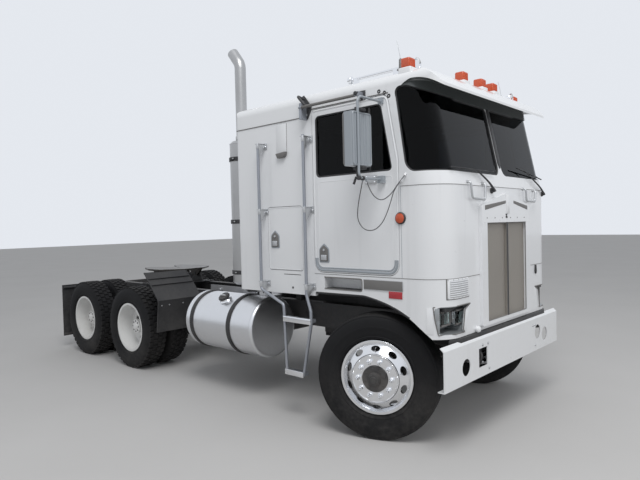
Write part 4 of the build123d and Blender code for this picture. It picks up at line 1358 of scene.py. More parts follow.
@dataclass
class Tyres(Assembly):
    """Ribbed steer tyres and block-tread drive tyres."""

    steps: int = 96
    blocks: int = 44
    twin_offset: float = 0.1715
    tread_rows: tuple[tuple[float, float, float, float], ...] = (
        (
            -0.117, -0.066, 0.0, 0.5425
        ), (-0.058, -0.004, 0.5, 0.5445), (0.004, 0.058, 0.0, 0.5445), (0.066, 0.117, 0.5, 0.5425),
    )

    steer_half: Pairs = (
        (0.000, 0.5450), (0.017, 0.5450), (0.018, 0.5335), (0.026, 0.5335), (0.027, 0.5450), (0.058, 0.5440),
        (0.059, 0.5330), (0.067, 0.5330), (0.068, 0.5438), (0.098, 0.5425), (0.108, 0.5405), (0.116, 0.5350),
        (0.120, 0.5270), (0.119, 0.5220), (0.123, 0.5170), (0.130, 0.4980), (0.1350, 0.4760), (0.1380, 0.4520),
        (0.1380, 0.4460), (0.1395, 0.4440), (0.1395, 0.4260), (0.1380, 0.4230), (0.1365, 0.4000), (0.1330, 0.3780),
        (0.1270, 0.3620), (0.1300, 0.3560), (0.1270, 0.3500), (0.1160, 0.3400), (0.1040, 0.3330), (0.0990, 0.3310),
        (0.0990, 0.3125), (0.000, 0.3125),
    )
    drive_half: Pairs = (
        (0.000, 0.5310), (0.050, 0.5310), (0.100, 0.5290), (0.114, 0.5250), (0.120, 0.5120), (0.124, 0.5050),
        (0.130, 0.4900), (0.1345, 0.4700), (0.1370, 0.4500), (0.1372, 0.4400), (0.1372, 0.4200), (0.1360, 0.4000),
        (0.1320, 0.3780), (0.1270, 0.3620), (0.1295, 0.3560), (0.1270, 0.3500), (0.1160, 0.3400), (0.1040, 0.3330),
        (0.0990, 0.3310), (0.0990, 0.3125), (0.000, 0.3125),
    )

    def build(self) -> None:
        """Model one tyre of each kind and fit it to every wheel."""
        steer = Bench.turned("steer_tyre", self._whole(self.steer_half), self.steps)
        drive = self._drive_tyre()
        for name, side in SIDES:
            piece = Bench.twin(steer, f"{name}_steer_tyre", front_wheel(side))
            self.wear(piece, Slot.TYRE, f"{name}_front_wheel", TYRE_SHADING)
            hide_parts(f"{name}_front_tyre")
            for axle, distance in DRIVE_AXLES:
                for place, offset in (("inner", -self.twin_offset), ("outer", self.twin_offset)):
                    turned = drive_wheel(side, distance) @ Matrix.Translation((offset, 0, 0)) @ Matrix.Rotation(
                        offset * 20, 4, "X"
                    )
                    copy = Bench.twin(drive, f"{name}_{axle}_{place}_tyre", turned)
                    self.wear(copy, Slot.TYRE, f"{name}_{axle}_wheel", TYRE_SHADING)
                    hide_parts(f"{name}_{axle}_tyres")
        for model in (steer, drive):
            bpy.data.objects.remove(model)

    @staticmethod
    def _whole(half: Sequence[tuple[float, float]]) -> list[tuple[float, float]]:
        """Close half a section with its mirror image."""
        return list(half) + [(-along, radius) for along, radius in reversed(half[1:-1])]

    def _drive_tyre(self) -> Piece:
        """Drive tyre with two rows of shoulder blocks and two of centre blocks.

        Returns:
            The tyre, about the X axis.
        """
        carcass = Bench.turned("carcass", self._whole(self.drive_half), self.steps)
        rows = []
        pitch = math.tau / self.blocks
        for row, (low, high, shift, top) in enumerate(self.tread_rows):
            block = Bench.block(f"tread_{row}", (low, -0.027, 0.520), (high, 0.027, top), 0.004, 1)
            moves = [Matrix.Rotation((number + shift) * pitch, 4, "X") for number in range(self.blocks)]
            rows.append(Bench.scattered(f"tread_row_{row}", block, moves))
        return Bench.joined("drive_tyre", [carcass, *rows])


def front_wheel(side: int) -> Matrix:
    """Place of a front wheel, modelled about X, in its parked steering angle."""
    axle = Vector((-math.sin(REST_STEER) * side, math.cos(REST_STEER) * side, 0))
    return facing(Vector((FRONT_AXLE_X, side * KINGPIN_Y, WHEEL_Z)) + axle * HUB_OUT, axle)


def drive_wheel(side: int, distance: float) -> Matrix:
    """Place of a pair of drive wheels, modelled about X."""
    return facing((distance, side * DRIVE_WHEEL_Y, WHEEL_Z), (0, side, 0))


def ring_of(count: int, radius: float, along: float, start: float = 0.0) -> list[Matrix]:
    """Places round the X axis.

    Args:
        count: Number of places.
        radius: Distance from the axis.
        along: Distance along the axis.
        start: Angle of the first, in radians.

    Returns:
        A transform for each place.
    """
    return [
        Matrix.Rotation(start + math.tau * number / count, 4, "X") @ Matrix.Translation((along, 0, radius))
        for number in range(count)
    ]


@dataclass
class WheelFittings(Assembly):
    """Nuts, hub bolts, caps and valves of the wheels."""

    nut_circle: float = 0.150
    disc_face: float = 0.150
    nuts: int = 10

    def build(self) -> None:
        """Model each fitting once and copy it to every wheel."""
        chrome_nut = nut("chrome_nut", 0.0205, 0.046)
        nuts = Bench.scattered(
            "nuts", chrome_nut, ring_of(self.nuts, self.nut_circle, self.disc_face, math.radians(18))
        )
        bolt = nut("hub_bolt", 0.011, 0.010)
        bolts = Bench.scattered("hub_bolts", bolt, ring_of(8, 0.088, 0.155, 0.2))
        cap = Bench.turned("oil_cap", [
            (0.190, CORE), (0.190, 0.050), (0.198, 0.050), (0.200, 0.046), (0.206, 0.043), (0.207, 0.030),
            (0.212, 0.026), (0.213, CORE)
        ], 32)
        ring = Bench.turned("hub_ring", [
            (0.153, 0.070), (0.153, 0.112), (0.159, 0.114), (0.162, 0.108), (0.160, 0.098), (0.164, 0.078),
            (0.163, 0.070)
        ], 48)
        step = Bench.turned("disc_step", [
            (0.149, 0.196), (0.1525, 0.201), (0.1525, 0.206), (0.146, 0.212), (0.140, 0.214), (0.140, 0.196)
        ], 64)
        valve = Bench.tube("valve", [(0.060, 0.0, 0.276), (0.105, 0.0, 0.262), (0.150, 0.0, 0.236)], 0.004, 0.02)
        for name, side in SIDES:
            body = f"{name}_front_wheel"
            place = front_wheel(side)
            for model, slot in (
                (nuts, Slot.CHROME), (bolts, Slot.IRON), (cap, Slot.BLACK), (ring, Slot.IRON), (step, Slot.ALLOY),
                (valve, Slot.CHROME)
            ):
                self.wear(Bench.twin(model, f"{name}_front_{model.name}", place), slot, body)
        flange_bolt = nut("flange_bolt", 0.013, 0.012)
        flange = Bench.scattered("flange_bolts", flange_bolt, ring_of(8, 0.070, 0.182))
        steel_nut = nut("steel_nut", 0.0185, 0.026)
        studs = Bench.scattered("studs", steel_nut, ring_of(self.nuts, 0.122, 0.009))
        dome = Bench.turned("axle_end", [
            (0.180, CORE), (0.180, 0.092), (0.188, 0.094), (0.192, 0.088), (0.192, 0.052), (0.204, 0.046),
            (0.210, 0.030), (0.212, CORE)
        ], 40)
        lip = Bench.turned("rim_lip", [
            (0.2790, 0.3110), (0.2790, 0.3250), (0.2835, 0.3262), (0.2850, 0.3220), (0.2840, 0.3090), (0.2810, 0.3080)
        ], 96)
        for name, side in SIDES:
            for axle, distance in DRIVE_AXLES:
                body = f"{name}_{axle}_wheel"
                place = drive_wheel(side, distance)
                for model, slot in ((flange, Slot.IRON), (studs, Slot.RIM), (dome, Slot.RIM), (lip, Slot.RIM)):
                    self.wear(Bench.twin(model, f"{name}_{axle}_{model.name}", place), slot, body)
        for model in (nuts, bolts, cap, ring, step, valve, flange, studs, dome, lip):
            bpy.data.objects.remove(model)


# Front of the cab


@dataclass
class Grille(Assembly):
    """Rivets, slots, latch and centre bar of the grille, and the knob beside it."""

    face: float = ahead(0.7832)
    mesh_face: float = ahead(0.7755)
    half: float = 0.419
    low: float = 0.996
    high: float = 1.853
    bar_half: float = 0.011
    rivet_radius: float = 0.0065
    rivet_y: float = 0.470
    header_z: float = 1.894
    rivet_rows: tuple[float, ...] = (1.02, 1.16, 1.30, 1.44, 1.58, 1.72, 1.86)
    header_rivets: tuple[float, ...] = (-0.425, -0.269, -0.119, 0.060, 0.213, 0.377)
    right_slot: Pairs = ((-0.462, 1.962), (-0.462, 2.002), (-0.041, 2.050), (-0.041, 2.024))
    left_slot: Pairs = ((0.130, 2.026), (0.130, 2.052), (0.456, 2.006), (0.456, 1.968))

    def build(self) -> None:
        """Dress the grille."""
        low, high = (self.mesh_face, -self.bar_half, self.low), (self.mesh_face + 0.006, self.bar_half, self.high)
        self.make(Bench.block, Slot.BLACK, "grille_bar", low, high, 0.002)
        bottom, top = self.low + 0.005, self.high - 0.005
        for name, low, high in (
            ("right_frame", -self.half, -self.bar_half), ("left_frame", self.bar_half, self.half)
        ):
            window = ((low + 0.005, bottom), (high - 0.005, bottom), (high - 0.005, top), (low + 0.005, top))
            corners = [(self.mesh_face + 0.001, y, z) for y, z in window]
            self.make(Bench.tube, Slot.TRIM, name, corners, 0.004, 0.006, True, 2, 2)
        sides = [(y, z) for y in (-self.rivet_y, self.rivet_y) for z in self.rivet_rows]
        header = [(y, self.header_z) for y in self.header_rivets]
        for name, spots, slot in (("grille_rivets", sides, Slot.WHITE), ("header_rivets", header, Slot.TRIM)):
            moves = [Matrix.Translation((self.face, y, z)) for y, z in spots]
            self.make(Bench.scattered, slot, name, rivet("grille_rivet", self.rivet_radius), moves)
        for name, corners in (("right_slot", self.right_slot), ("left_slot", self.left_slot)):
            self.make(
                Bench.slab, Slot.TRIM, name, [(self.face - 0.004, y, z) for y, z in corners], (0.0055, 0, 0), 0.001
            )
        self.make(
            Bench.block, Slot.WHITE, "header_strip", (self.face - 0.003, -0.030, 1.935),
            (self.face + 0.006, 0.030, 2.105), 0.003
        )
        self.make(
            Bench.block, Slot.BLACK, "grille_latch_plate", (self.face, -0.045, 1.892),
            (self.face + 0.004, -0.009, 1.930), 0.0015
        )
        self.make(
            Bench.rod, Slot.CHROME, "grille_latch", (self.face + 0.003, -0.027, 1.911),
            (self.face + 0.012, -0.027, 1.911), 0.009
        )
        ball = Bench.turned("front_knob", [
            (0.0, CORE), (0.0, 0.020), (0.012, 0.020), (0.020, 0.027), (0.034, 0.029), (0.048, 0.023), (0.055, 0.012),
            (0.057, CORE)
        ], 32)
        self.wear(Bench.placed(ball, at(0.735, -0.585, 0.952), (1, -0.3, 0.1)), Slot.WHITE)
        # Painted shadow: the black disc round the knob's foot stands for the knob's shadow on the panel
        cup = Bench.turned(
            "front_knob_cup", [(0.0, CORE), (0.0, 0.040), (0.010, 0.040), (0.012, 0.020), (0.012, CORE)], 32
        )
        self.wear(Bench.placed(cup, at(0.730, -0.590, 0.952), (1, -0.3, 0.1)), Slot.BLACK)


@dataclass
class Headlamps(Assembly):
    """Twin rectangular lamps with bezels in each pod."""

    pod: Pairs = ((0.700, 1.190), (1.085, 1.190), (1.062, 0.965), (0.806, 0.965), (0.824, 0.990), (0.792, 1.150))
    lamps: Pairs = ((0.727, 0.863), (0.879, 1.021))
    depth: float = 0.140
    depth_step: float = 0.045
    insets: Pairs = ((0.006, 0.0), (0.018, -0.022), (0.016, -0.014))
    low: float = 1.030
    high: float = 1.142
    back: float = ahead(0.566)
    web: Pairs = ((0.688, 1.186), (0.702, 1.186), (0.792, 1.150), (0.824, 0.990), (0.808, 0.956), (0.780, 0.956))

    def build(self) -> None:
        """Build both pods."""
        for name, side in SIDES:
            self._pod(name, side)

    def _pod(self, name: str, side: int) -> None:
        """Build one pod.

        Args:
            name: Side of the vehicle.
            side: -1 on the right-hand side, 1 on the left.
        """
        rim = []
        for y, z in self.pod:
            rim.append(around(side * reach_of(y), z, 0.004))
        corners = []
        for first, second in zip(rim, rim[1:] + rim[:1]):
            corners.append(first)
            middle = (Vector(first) + Vector(second)) / 2
            corners.append(around(side * reach_of(abs(middle.y)), middle.z, 0.004))
        self.make(Bench.tube, Slot.TRIM, f"{name}_pod_bezel", corners, 0.0045, 0.020, True, 3, 3)
        wing = self.curved_plate(f"{name}_pod_wing", side * 1.126, side * 1.180, 0.972, 1.186, 0.002, 0.003)
        self.wear(wing, Slot.WHITE)
        for half, far, bottom, top in ((0, 1.099, 0.985, 1.080), (1, 1.114, 1.080, 1.178)):
            cheek = self.curved_plate(
                f"{name}_pod_cheek_{half}", side * 1.078, side * far, bottom, top, 0.0012, 0.002
            )
            self.wear(cheek, Slot.LAMP)
        self.make(
            Bench.slab, Slot.WHITE, f"{name}_pod_web", [at(0.742, side * y, z) for y, z in self.web], (0.010, 0, 0),
            0.002
        )
        # Painted shadow: black block under the top of the pod, for the hood's shadow over the lamps
        y_low, y_high = sorted((side * 0.708, side * 1.020))
        self.make(
            Bench.block, Slot.BLACK, f"{name}_pod_brow", at(0.600, y_low, 1.146), at(0.700, y_high, 1.184), 0.006
        )
        for number, (low, high) in enumerate(self.lamps):
            depth = self.depth - self.depth_step * number
            front = self.back + depth
            y_low, y_high = sorted((side * low, side * high))
            window = [(y_low, self.low), (y_high, self.low), (y_high, self.high), (y_low, self.high)]
            ring = [(front, y, z) for y, z in window]
            self.make(Bench.tube, Slot.TRIM, f"{name}_lamp_frame_{number}", ring, 0.008, 0.018, True, 3, 4)
            floor = [(self.back, y, z) for y, z in window]
            bowl = Bench.slab(f"{name}_lamp_bowl_{number}", floor, (depth - 0.012, 0, 0), 0.0)
            Bench.pick(bowl)
            bpy.ops.object.mode_set(mode="EDIT")
            shape = bmesh.from_edit_mesh(bowl.data)
            for face in shape.faces:
                face.select = face.normal.x > 0.9
            bmesh.update_edit_mesh(bowl.data)
            bpy.ops.mesh.select_mode(type="FACE")
            for thickness, sink in self.insets:
                bpy.ops.mesh.inset(thickness=thickness, depth=sink)
            bpy.ops.object.mode_set(mode="OBJECT")
            self.wear(Bench.rounded(bowl, 0.002), Slot.CHROME)
            self.make(
                Bench.block, Slot.LENS, f"{name}_lamp_lens_{number}",
                (front - 0.006, y_low + 0.004, self.low + 0.004), (front + 0.001, y_high - 0.004, self.high - 0.004),
                0.003, 2
            )
        self.make(
            Bench.rod, Slot.CHROME, f"{name}_lamp_bulbs", (self.back, side * 0.792, 1.077),
            (self.back + 0.045, side * 0.792, 1.077), 0.012
        )


@dataclass
class Skirt(Assembly):
    """Louvres, strips, seams and small lamps of the front panel and skirt."""

    louvres: int = 8
    louvre_low: float = 1.262
    louvre_high: float = 1.398
    louvre_reach: tuple[float, float] = (0.720, 1.010)
    louvre_proud: float = 0.0065
    seams: tuple[float, ...] = (1.412, 2.170)

    def build(self) -> None:
        """Build each fitting."""
        low, high = (-value for value in self.louvre_reach)
        back = self.curved_plate(
            "louvre_back", low, high, self.louvre_low - 0.012, self.louvre_high + 0.012, 0.003, 0.007
        )
        self.wear(back, Slot.WHITE)
        shadow = self.curved_plate(
            "louvre_shadow", low + 0.004, high - 0.010, self.louvre_low - 0.018, self.louvre_high + 0.014, 0.001,
            0.002
        )
        self.wear(shadow, Slot.TRIM)
        inner = self.curved_plate(
            "louvre_inner", low - 0.024, high + 0.024, self.louvre_low, self.louvre_high, self.louvre_proud, 0.0025
        )
        self.wear(inner, Slot.DULL)
        blades = []
        rise = self.louvre_high - self.louvre_low - 0.018
        for number in range(self.louvres):
            height = self.louvre_low + 0.010 + rise * number / (self.louvres - 1)
            blades.append(
                Bench.tube(f"blade_{number}", band(low - 0.022, high + 0.022, height, 0.008), 0.0040, sides=2)
            )
        self.make(Bench.joined, Slot.WHITE, "louvres", blades)
        edge = [
            around(low + (high - low) * share, height, self.louvre_proud)
            for height in (self.louvre_low - 0.006, self.louvre_high + 0.006)
            for share in (0.02, 0.2, 0.4, 0.6, 0.8, 0.98)
        ]
        out = Vector(around(-0.9, 1.3, 1.0)) - Vector(around(-0.9, 1.3, 0.0))
        self.make(
            Bench.scattered, Slot.DULL, "louvre_rivets", rivet("louvre_rivet", 0.005),
            [facing(spot, out) for spot in edge]
        )
        self.make(Bench.slab, Slot.BLACK, "left_panel_catch", [at(0.748, y, z) for y, z in (
            (0.703, 1.345), (0.712, 1.408), (0.732, 1.408), (0.741, 1.345), (0.730, 1.318), (0.714, 1.318)
        )], (0.016, 0, 0), 0.003)
        for name, side in SIDES:
            self._side_fittings(name, side)
        for height in self.seams:
            far = reach_at(-0.612) if height < 2 else reach_at(0.366)
            self.make(
                Bench.tube, Slot.TRIM, f"seam_{round(height * 1000)}", band(-far, far, height, 0.0008, 170), 0.0022,
                sides=2
            )
        # Black strip in the gap between bumper and panel: a rubber seal, and painted shade of the gap
        self.make(Bench.slab, Slot.BLACK, "bumper_seal", [
            at(0.724, -1.02, 0.874), at(0.772, -0.90, 0.874), at(0.772, 0.90, 0.874), at(0.724, 1.02, 0.874),
            at(0.70, 0.90, 0.874), at(0.70, -0.90, 0.874)
        ], (0, 0, 0.052), 0.006, body="chassis")

    def _side_fittings(self, name: str, side: int) -> None:
        """Build the lamp, the reflector, the bare badge strip and the lip of one side.

        Args:
            name: Side of the vehicle.
            side: -1 on the right-hand side, 1 on the left.
        """
        skin = side * CAB_HALF
        out = (0, side, 0)
        upright = on_side([(0.366, z) for z in self.seams], skin)
        self.make(Bench.tube, Slot.SHELL, f"{name}_front_seam", upright, 0.0020, sides=2)
        base = Bench.placed(Bench.turned(f"{name}_turn_base", [
            (-0.004, CORE), (-0.004, 0.050), (0.010, 0.050), (0.016, 0.044), (0.016, CORE)
        ], 32), at(0.363, skin, 1.907), out)
        self.wear(base, Slot.BLACK)
        dome = Bench.placed(Bench.turned(f"{name}_turn_lens", [
            (0.014, CORE), (0.014, 0.042), (0.019, 0.040), (0.025, 0.030), (0.028, 0.014), (0.029, CORE)
        ], 32), at(0.363, skin, 1.907), out)
        self.wear(dome, Slot.AMBER)
        y_low, y_high = sorted((skin - side * 0.002, skin + side * 0.007))
        self.make(
            Bench.block, Slot.RED, f"{name}_reflector", at(0.231, y_low, 1.238), at(0.365, y_high, 1.300), 0.003
        )
        self.make(
            Bench.block, Slot.TRIM, f"{name}_badge_place", at(-0.031, y_low, 1.301),
            at(0.370, y_high - side * 0.002, 1.383), 0.002
        )
        rim = on_side([(-0.033, 1.300), (0.372, 1.300), (0.372, 1.385), (-0.033, 1.385)], skin + side * 0.004)
        self.make(Bench.tube, Slot.DULL, f"{name}_badge_rim", rim, 0.003, 0.006, True, 2, 2)
        arch = [(-0.600, 1.233), (-0.030, 1.238), (0.085, 1.215), (0.205, 1.185), (0.320, 1.143), (0.430, 1.087)]
        self.make(
            Bench.tube, Slot.RUBBER, f"{name}_arch_lip", on_side(arch, skin - side * 0.010), 0.013, 0.03, False, 3, 3
        )
        # Rubber mat on the step-well floor, also kept dark as painted shade of the well
        self.make(
            Bench.block, Slot.RUBBER, f"{name}_well_tread", at(-0.480, side * 1.020, 1.279),
            at(-0.060, side * 1.112, 1.285), 0.002
        )
        rim = on_side([(-0.489, 1.278), (-0.052, 1.278), (-0.052, 1.385), (-0.489, 1.385)], skin + side * 0.001)
        self.make(Bench.tube, Slot.TRIM, f"{name}_well_rim", rim, 0.005, 0.02, True, 2, 3)


@dataclass
class Bumper(Assembly):
    """Bolts, tow eye, hole edges and struts of the bumper."""

    carrier: str = "chassis"
    face: float = ahead(0.790)
    bolts: Pairs = ((-0.560, 0.818), (-0.458, 0.818), (-0.442, 0.600), (0.600, 0.812), (0.545, 0.812), (0.600, 0.610))
    holes: tuple[Point, ...] = ((-0.850, 0.685, 0.070), (0.850, 0.685, 0.070), (0.665, 0.735, 0.072))

    def build(self) -> None:
        """Dress the bumper."""
        self.make(
            Bench.scattered, Slot.DULL, "bumper_bolts", nut("bumper_bolt", 0.011, 0.006),
            [facing((self.face, y, z), (1, 0, 0)) for y, z in self.bolts]
        )
        self.make(Bench.block, Slot.CHASSIS, "tow_plate", at(0.728, -0.627, 0.640), at(0.742, -0.474, 0.790), 0.003)
        loop = on_side([(0.740, 0.675), (0.772, 0.690), (0.772, 0.745), (0.740, 0.760)], -0.550)
        self.make(Bench.tube, Slot.CHASSIS, "tow_eye", loop, 0.011, 0.02)
        for number, (y, z, radius) in enumerate(self.holes):
            ring = Bench.turned(f"hole_edge_{number}", [
                (-0.010, radius + 0.0005), (-0.010, radius + 0.005), (-0.003, radius + 0.005),
                (-0.003, radius + 0.0005)
            ], 48)
            self.wear(Bench.placed(ring, (self.face, y, z), (1, 0, 0)), Slot.CHASSIS)
        for name, side in SIDES:
            self.make(Bench.tube, Slot.CHASSIS, f"{name}_bumper_strut", [
                at(0.520, side * 0.640, 0.760), at(0.640, side * 0.800, 0.745), at(0.776, side * 1.020, 0.745)
            ], 0.016, 0.03)


# Sides of the cab


def rounded_outline(corners: Sequence[tuple[float, float, float]], steps: int = 6) -> list[tuple[float, float]]:
    """Outline with an arc at each corner.

    Args:
        corners: Points as across, up and the radius of the corner.
        steps: Runs in each arc.

    Returns:
        The points of the closed outline.
    """
    points: list[tuple[float, float]] = []
    for index, (across, up, radius) in enumerate(corners):
        here = Vector((across, up))
        if radius <= 0:
            points.append((across, up))
            continue
        before = (Vector(corners[index - 1][:2]) - here).normalized()
        after = (Vector(corners[(index + 1) % len(corners)][:2]) - here).normalized()
        half = before.angle(after) / 2
        centre = here + (before + after).normalized() * (radius / math.sin(half))
        start = here + before * (radius / math.tan(half)) - centre
        end = here + after * (radius / math.tan(half)) - centre
        first = math.atan2(start.y, start.x)
        sweep = math.remainder(math.atan2(end.y, end.x) - first, math.tau)
        for step in range(steps + 1):
            angle = first + sweep * step / steps
            points.append((centre.x + radius * math.cos(angle), centre.y + radius * math.sin(angle)))
    return points


def on_side(points: Sequence[tuple[float, float]], y: float) -> list[Point]:
    """Put an outline, given from the front axle and up, on an upright plane beside the vehicle."""
    return [at(across, y, up) for across, up in points]


DOOR_LIP = (
    (-0.592, 1.443, 0.088), (0.325, 1.443, 0.088), (0.337, 2.388, 0.14), (0.240, 2.922, 0.05), (-0.592, 2.922, 0.03)
)
GLASS_EDGE = ((-0.560, 2.310, 0.04), (0.285, 2.310, 0.03), (0.180, 2.868, 0.05), (-0.560, 2.868, 0.04))
LUGGAGE_LIP = ((-1.232, 1.438, 0.025), (-0.770, 1.438, 0.025), (-0.770, 2.044, 0.025), (-1.232, 2.044, 0.025))


@dataclass
class Glazing(Assembly):
    """Rubber round every pane and the divider of each door window."""

    def build(self) -> None:
        """Build each strip."""
        rubber = self.node_edges("windscreen_rubber", "windshields", 0.011)
        self.wear(rubber, Slot.RUBBER)
        low, high = (Vector(around(0.0, z, 0.001)) for z in (2.350, 2.908))
        low_edge, high_edge = (Vector((0, half, 0)) for half in (0.010, 0.030))
        self.make(Bench.slab, Slot.BLACK, "centre_post_cover", [
            low - low_edge, low + low_edge, low.lerp(high, 0.08) + high_edge, high + high_edge, high - high_edge,
            low.lerp(high, 0.08) - high_edge
        ], (0.004, 0, 0), 0.001)
        for name, side in SIDES:
            body = f"{name}_door"
            self.make(
                Bench.tube, Slot.RUBBER, f"{name}_window_rubber", on_side(rounded_outline(GLASS_EDGE), side * 1.113),
                0.009, closed=True, sides=3, body=body
            )
            self.make(
                Bench.tube, Slot.BLACK, f"{name}_window_channel", on_side(rounded_outline(GLASS_EDGE), side * 1.100),
                0.008, closed=True, sides=2, body=body
            )
            self.make(
                Bench.block, Slot.BLACK, f"{name}_window_divider", at(0.046, side * 1.094, 2.306),
                at(0.066, side * 1.112, 2.872), 0.003, body=body
            )


def latch_model() -> dict[Slot, Piece]:
    """Paddle latch in an arched cup, facing +Y, its middle at the origin.

    Returns:
        A piece for each finish.
    """
    rim = rounded_outline((
        (-0.061, -0.087, 0.014), (0.061, -0.087, 0.014), (0.060, 0.042, 0.04), (0.0, 0.092, 0.012),
        (-0.060, 0.042, 0.04)
    ))
    cup = rounded_outline((
        (-0.050, -0.076, 0.010), (0.050, -0.076, 0.010), (0.050, 0.038, 0.034), (0.0, 0.076, 0.010),
        (-0.050, 0.038, 0.034)
    ))
    plate = Bench.slab("latch_plate", [(x, 0.0, z) for x, z in rim], (0, 0.005, 0), 0.002)
    dark = Bench.slab("latch_cup", [(x, 0.004, z) for x, z in cup], (0, 0.003, 0), 0.001)
    grip = Bench.block("latch_grip", (-0.034, 0.006, -0.066), (0.034, 0.018, -0.014), 0.006, 3)
    lock = Bench.rod("latch_lock", (0.0, 0.005, 0.030), (0.0, 0.014, 0.030), 0.012, 24, 0.003)
    return {Slot.SHELL: plate, Slot.TRIM: dark, Slot.DULL: Bench.joined("latch_grip", [grip, lock])}


@dataclass
class Doors(Assembly):
    """Lips, sill beads and latches of the doors and the luggage doors; the grey sill beads are a seal and painted
    shade under the door's turned-in lower edge.
    """

    def build(self) -> None:
        """Build the pieces of every door."""
        latch = latch_model()
        for name, side in SIDES:
            body = f"{name}_door"
            self.make(
                Bench.tube, Slot.WHITE, f"{name}_door_lip", on_side(rounded_outline(DOOR_LIP), side * LIP_Y), 0.0065,
                closed=True, sides=3, body=body
            )
            # Grey beads along the lower door edge: a seal, and painted shade of the turned-in edge
            for number, (inset, radius) in enumerate(((0.012, 0.012), (0.034, 0.008))):
                path = rounded_outline((
                    (-0.600 + inset, 1.560, 0.0), (-0.600 + inset, 1.436 + inset, 0.095 - inset),
                    (0.333 - inset, 1.436 + inset, 0.095 - inset), (0.335 - inset, 1.560, 0.0)
                ))
                self.make(
                    Bench.tube, Slot.SHELL, f"{name}_door_sill_{number}", on_side(path, side * 1.117), radius,
                    sides=3, body=body
                )
            sheet = rounded_outline(
                ((-0.540, 1.475, 0.05), (0.285, 1.475, 0.05), (0.290, 2.262, 0.03), (-0.540, 2.262, 0.03))
            )
            self.make(
                Bench.tube, Slot.WHITE, f"{name}_door_crease", on_side(sheet, side * 1.1185), 0.0035, closed=True,
                sides=2, body=body
            )
            self.make(
                Bench.tube, Slot.WHITE, f"{name}_luggage_lip", on_side(rounded_outline(LUGGAGE_LIP), side * LIP_Y),
                0.004, closed=True, sides=2, body=f"{name}_luggage_door"
            )
            for wall, across, height in ((body, -0.485, 1.605), (f"{name}_luggage_door", -1.140, 1.732)):
                for slot, model in latch.items():
                    move = Matrix.Translation(at(across, side * CAB_HALF, height)) @ Matrix.Scale(side, 4, (0, 1, 0))
                    self.wear(Bench.twin(model, f"{wall}_{model.name}", move), slot, wall)
        for model in latch.values():
            bpy.data.objects.remove(model)


@dataclass
class Sides(Assembly):
    """Vent strip, drip rail, bar, grommets and seams of the cab's sides."""

    grommets: Pairs = ((0.169, 2.973), (0.225, 2.953), (0.268, 2.920))

    def build(self) -> None:
        """Build the pieces of both sides."""
        for name, side in SIDES:
            skin = side * CAB_HALF
            vent = rounded_outline(
                ((-1.086, 2.572, 0.006), (-0.948, 2.578, 0.006), (-0.944, 2.866, 0.006), (-1.082, 2.868, 0.006))
            )
            self.make(Bench.slab, Slot.WHITE, f"{name}_vent_plate", on_side(vent, skin), (0, side * 0.008, 0), 0.0025)
            self.make(Bench.tube, Slot.TRIM, f"{name}_vent_line", on_side(vent, skin), 0.0028, closed=True, sides=2)
            self.make(Bench.slab, Slot.TRIM, f"{name}_vent_scoop", on_side([
                (-1.080, 2.578), (-0.940, 2.590), (-0.950, 2.550), (-0.972, 2.534), (-1.055, 2.530)
            ], skin), (0, side * 0.034, 0), 0.006)
            gutter = on_side([(-1.700, 2.886), (-0.700, 2.886), (-0.612, 2.948), (0.262, 2.948)], skin + side * 0.002)
            self.make(Bench.tube, Slot.TRIM, f"{name}_roof_seam", gutter, 0.0045, 0.03)
            self.make(
                Bench.block, Slot.BLACK, f"{name}_side_slot", at(-1.028, skin - side * 0.004, 1.386),
                at(-0.795, skin + side * 0.001, 1.392), 0.0
            )
            self.make(
                Bench.rod, Slot.BLACK, f"{name}_side_drain", at(-0.906, skin, 1.262),
                at(-0.906, skin + side * 0.006, 1.262), 0.010
            )
            ring = Bench.turned(
                "grommet", [(-0.004, 0.006), (0.002, 0.006), (0.003, 0.014), (0.0, 0.018), (-0.004, 0.018)], 24
            )
            spots = [facing(at(x, skin, z), (0, side, 0)) for x, z in self.grommets]
            self.make(Bench.scattered, Slot.BLACK, f"{name}_pillar_grommets", ring, spots)
            self._bar(name, side)

    def _bar(self, name: str, side: int) -> None:
        """Brackets and sleeve of the bar above a door.

        Args:
            name: Side of the vehicle.
            side: -1 on the right-hand side, 1 on the left.
        """
        self.make(
            Bench.rod, Slot.TRIM, f"{name}_bar_sleeve", at(-0.655, side * 1.200, 2.963),
            at(-0.025, side * 1.200, 2.963), 0.0135
        )
        shape = [
            (-0.722, 3.078), (-0.690, 3.088), (-0.600, 2.975), (-0.600, 2.945), (-0.650, 2.860), (-0.690, 2.860),
            (-0.720, 2.930)
        ]
        self.make(
            Bench.slab, Slot.IRON, f"{name}_bar_rear_plate", on_side(shape, side * PLATE_Y), (0, side * 0.010, 0),
            0.003
        )
        loop = [
            at(-0.690, side * 1.130, 3.050), at(-0.700, side * 1.205, 3.070), at(-0.612, side * 1.205, 2.975),
            at(-0.625, side * 1.130, 2.960)
        ]
        self.make(Bench.tube, Slot.IRON, f"{name}_bar_loop", loop, 0.013, 0.02)
        self.make(
            Bench.block, Slot.IRON, f"{name}_bar_front_plate", at(-0.045, side * PLATE_Y, 2.925),
            at(0.030, side * 1.128, 3.010), 0.004
        )
        self.make(
            Bench.rod, Slot.IRON, f"{name}_bar_front_knob", at(-0.008, side * 1.128, 2.975),
            at(-0.008, side * 1.222, 2.975), 0.018, 24, 0.004
        )
        spots = [facing(at(x, side * 1.130, z), (0, side, 0)) for x, z in (
            (-0.700, 3.040), (-0.660, 2.900), (-0.690, 2.960)
        )]
        spots += [facing(at(x, side * 1.128, z), (0, side, 0)) for x, z in ((-0.030, 2.940), (0.016, 2.940))]
        self.make(Bench.scattered, Slot.DULL, f"{name}_bar_bolts", nut("bar_bolt", 0.009, 0.006), spots)


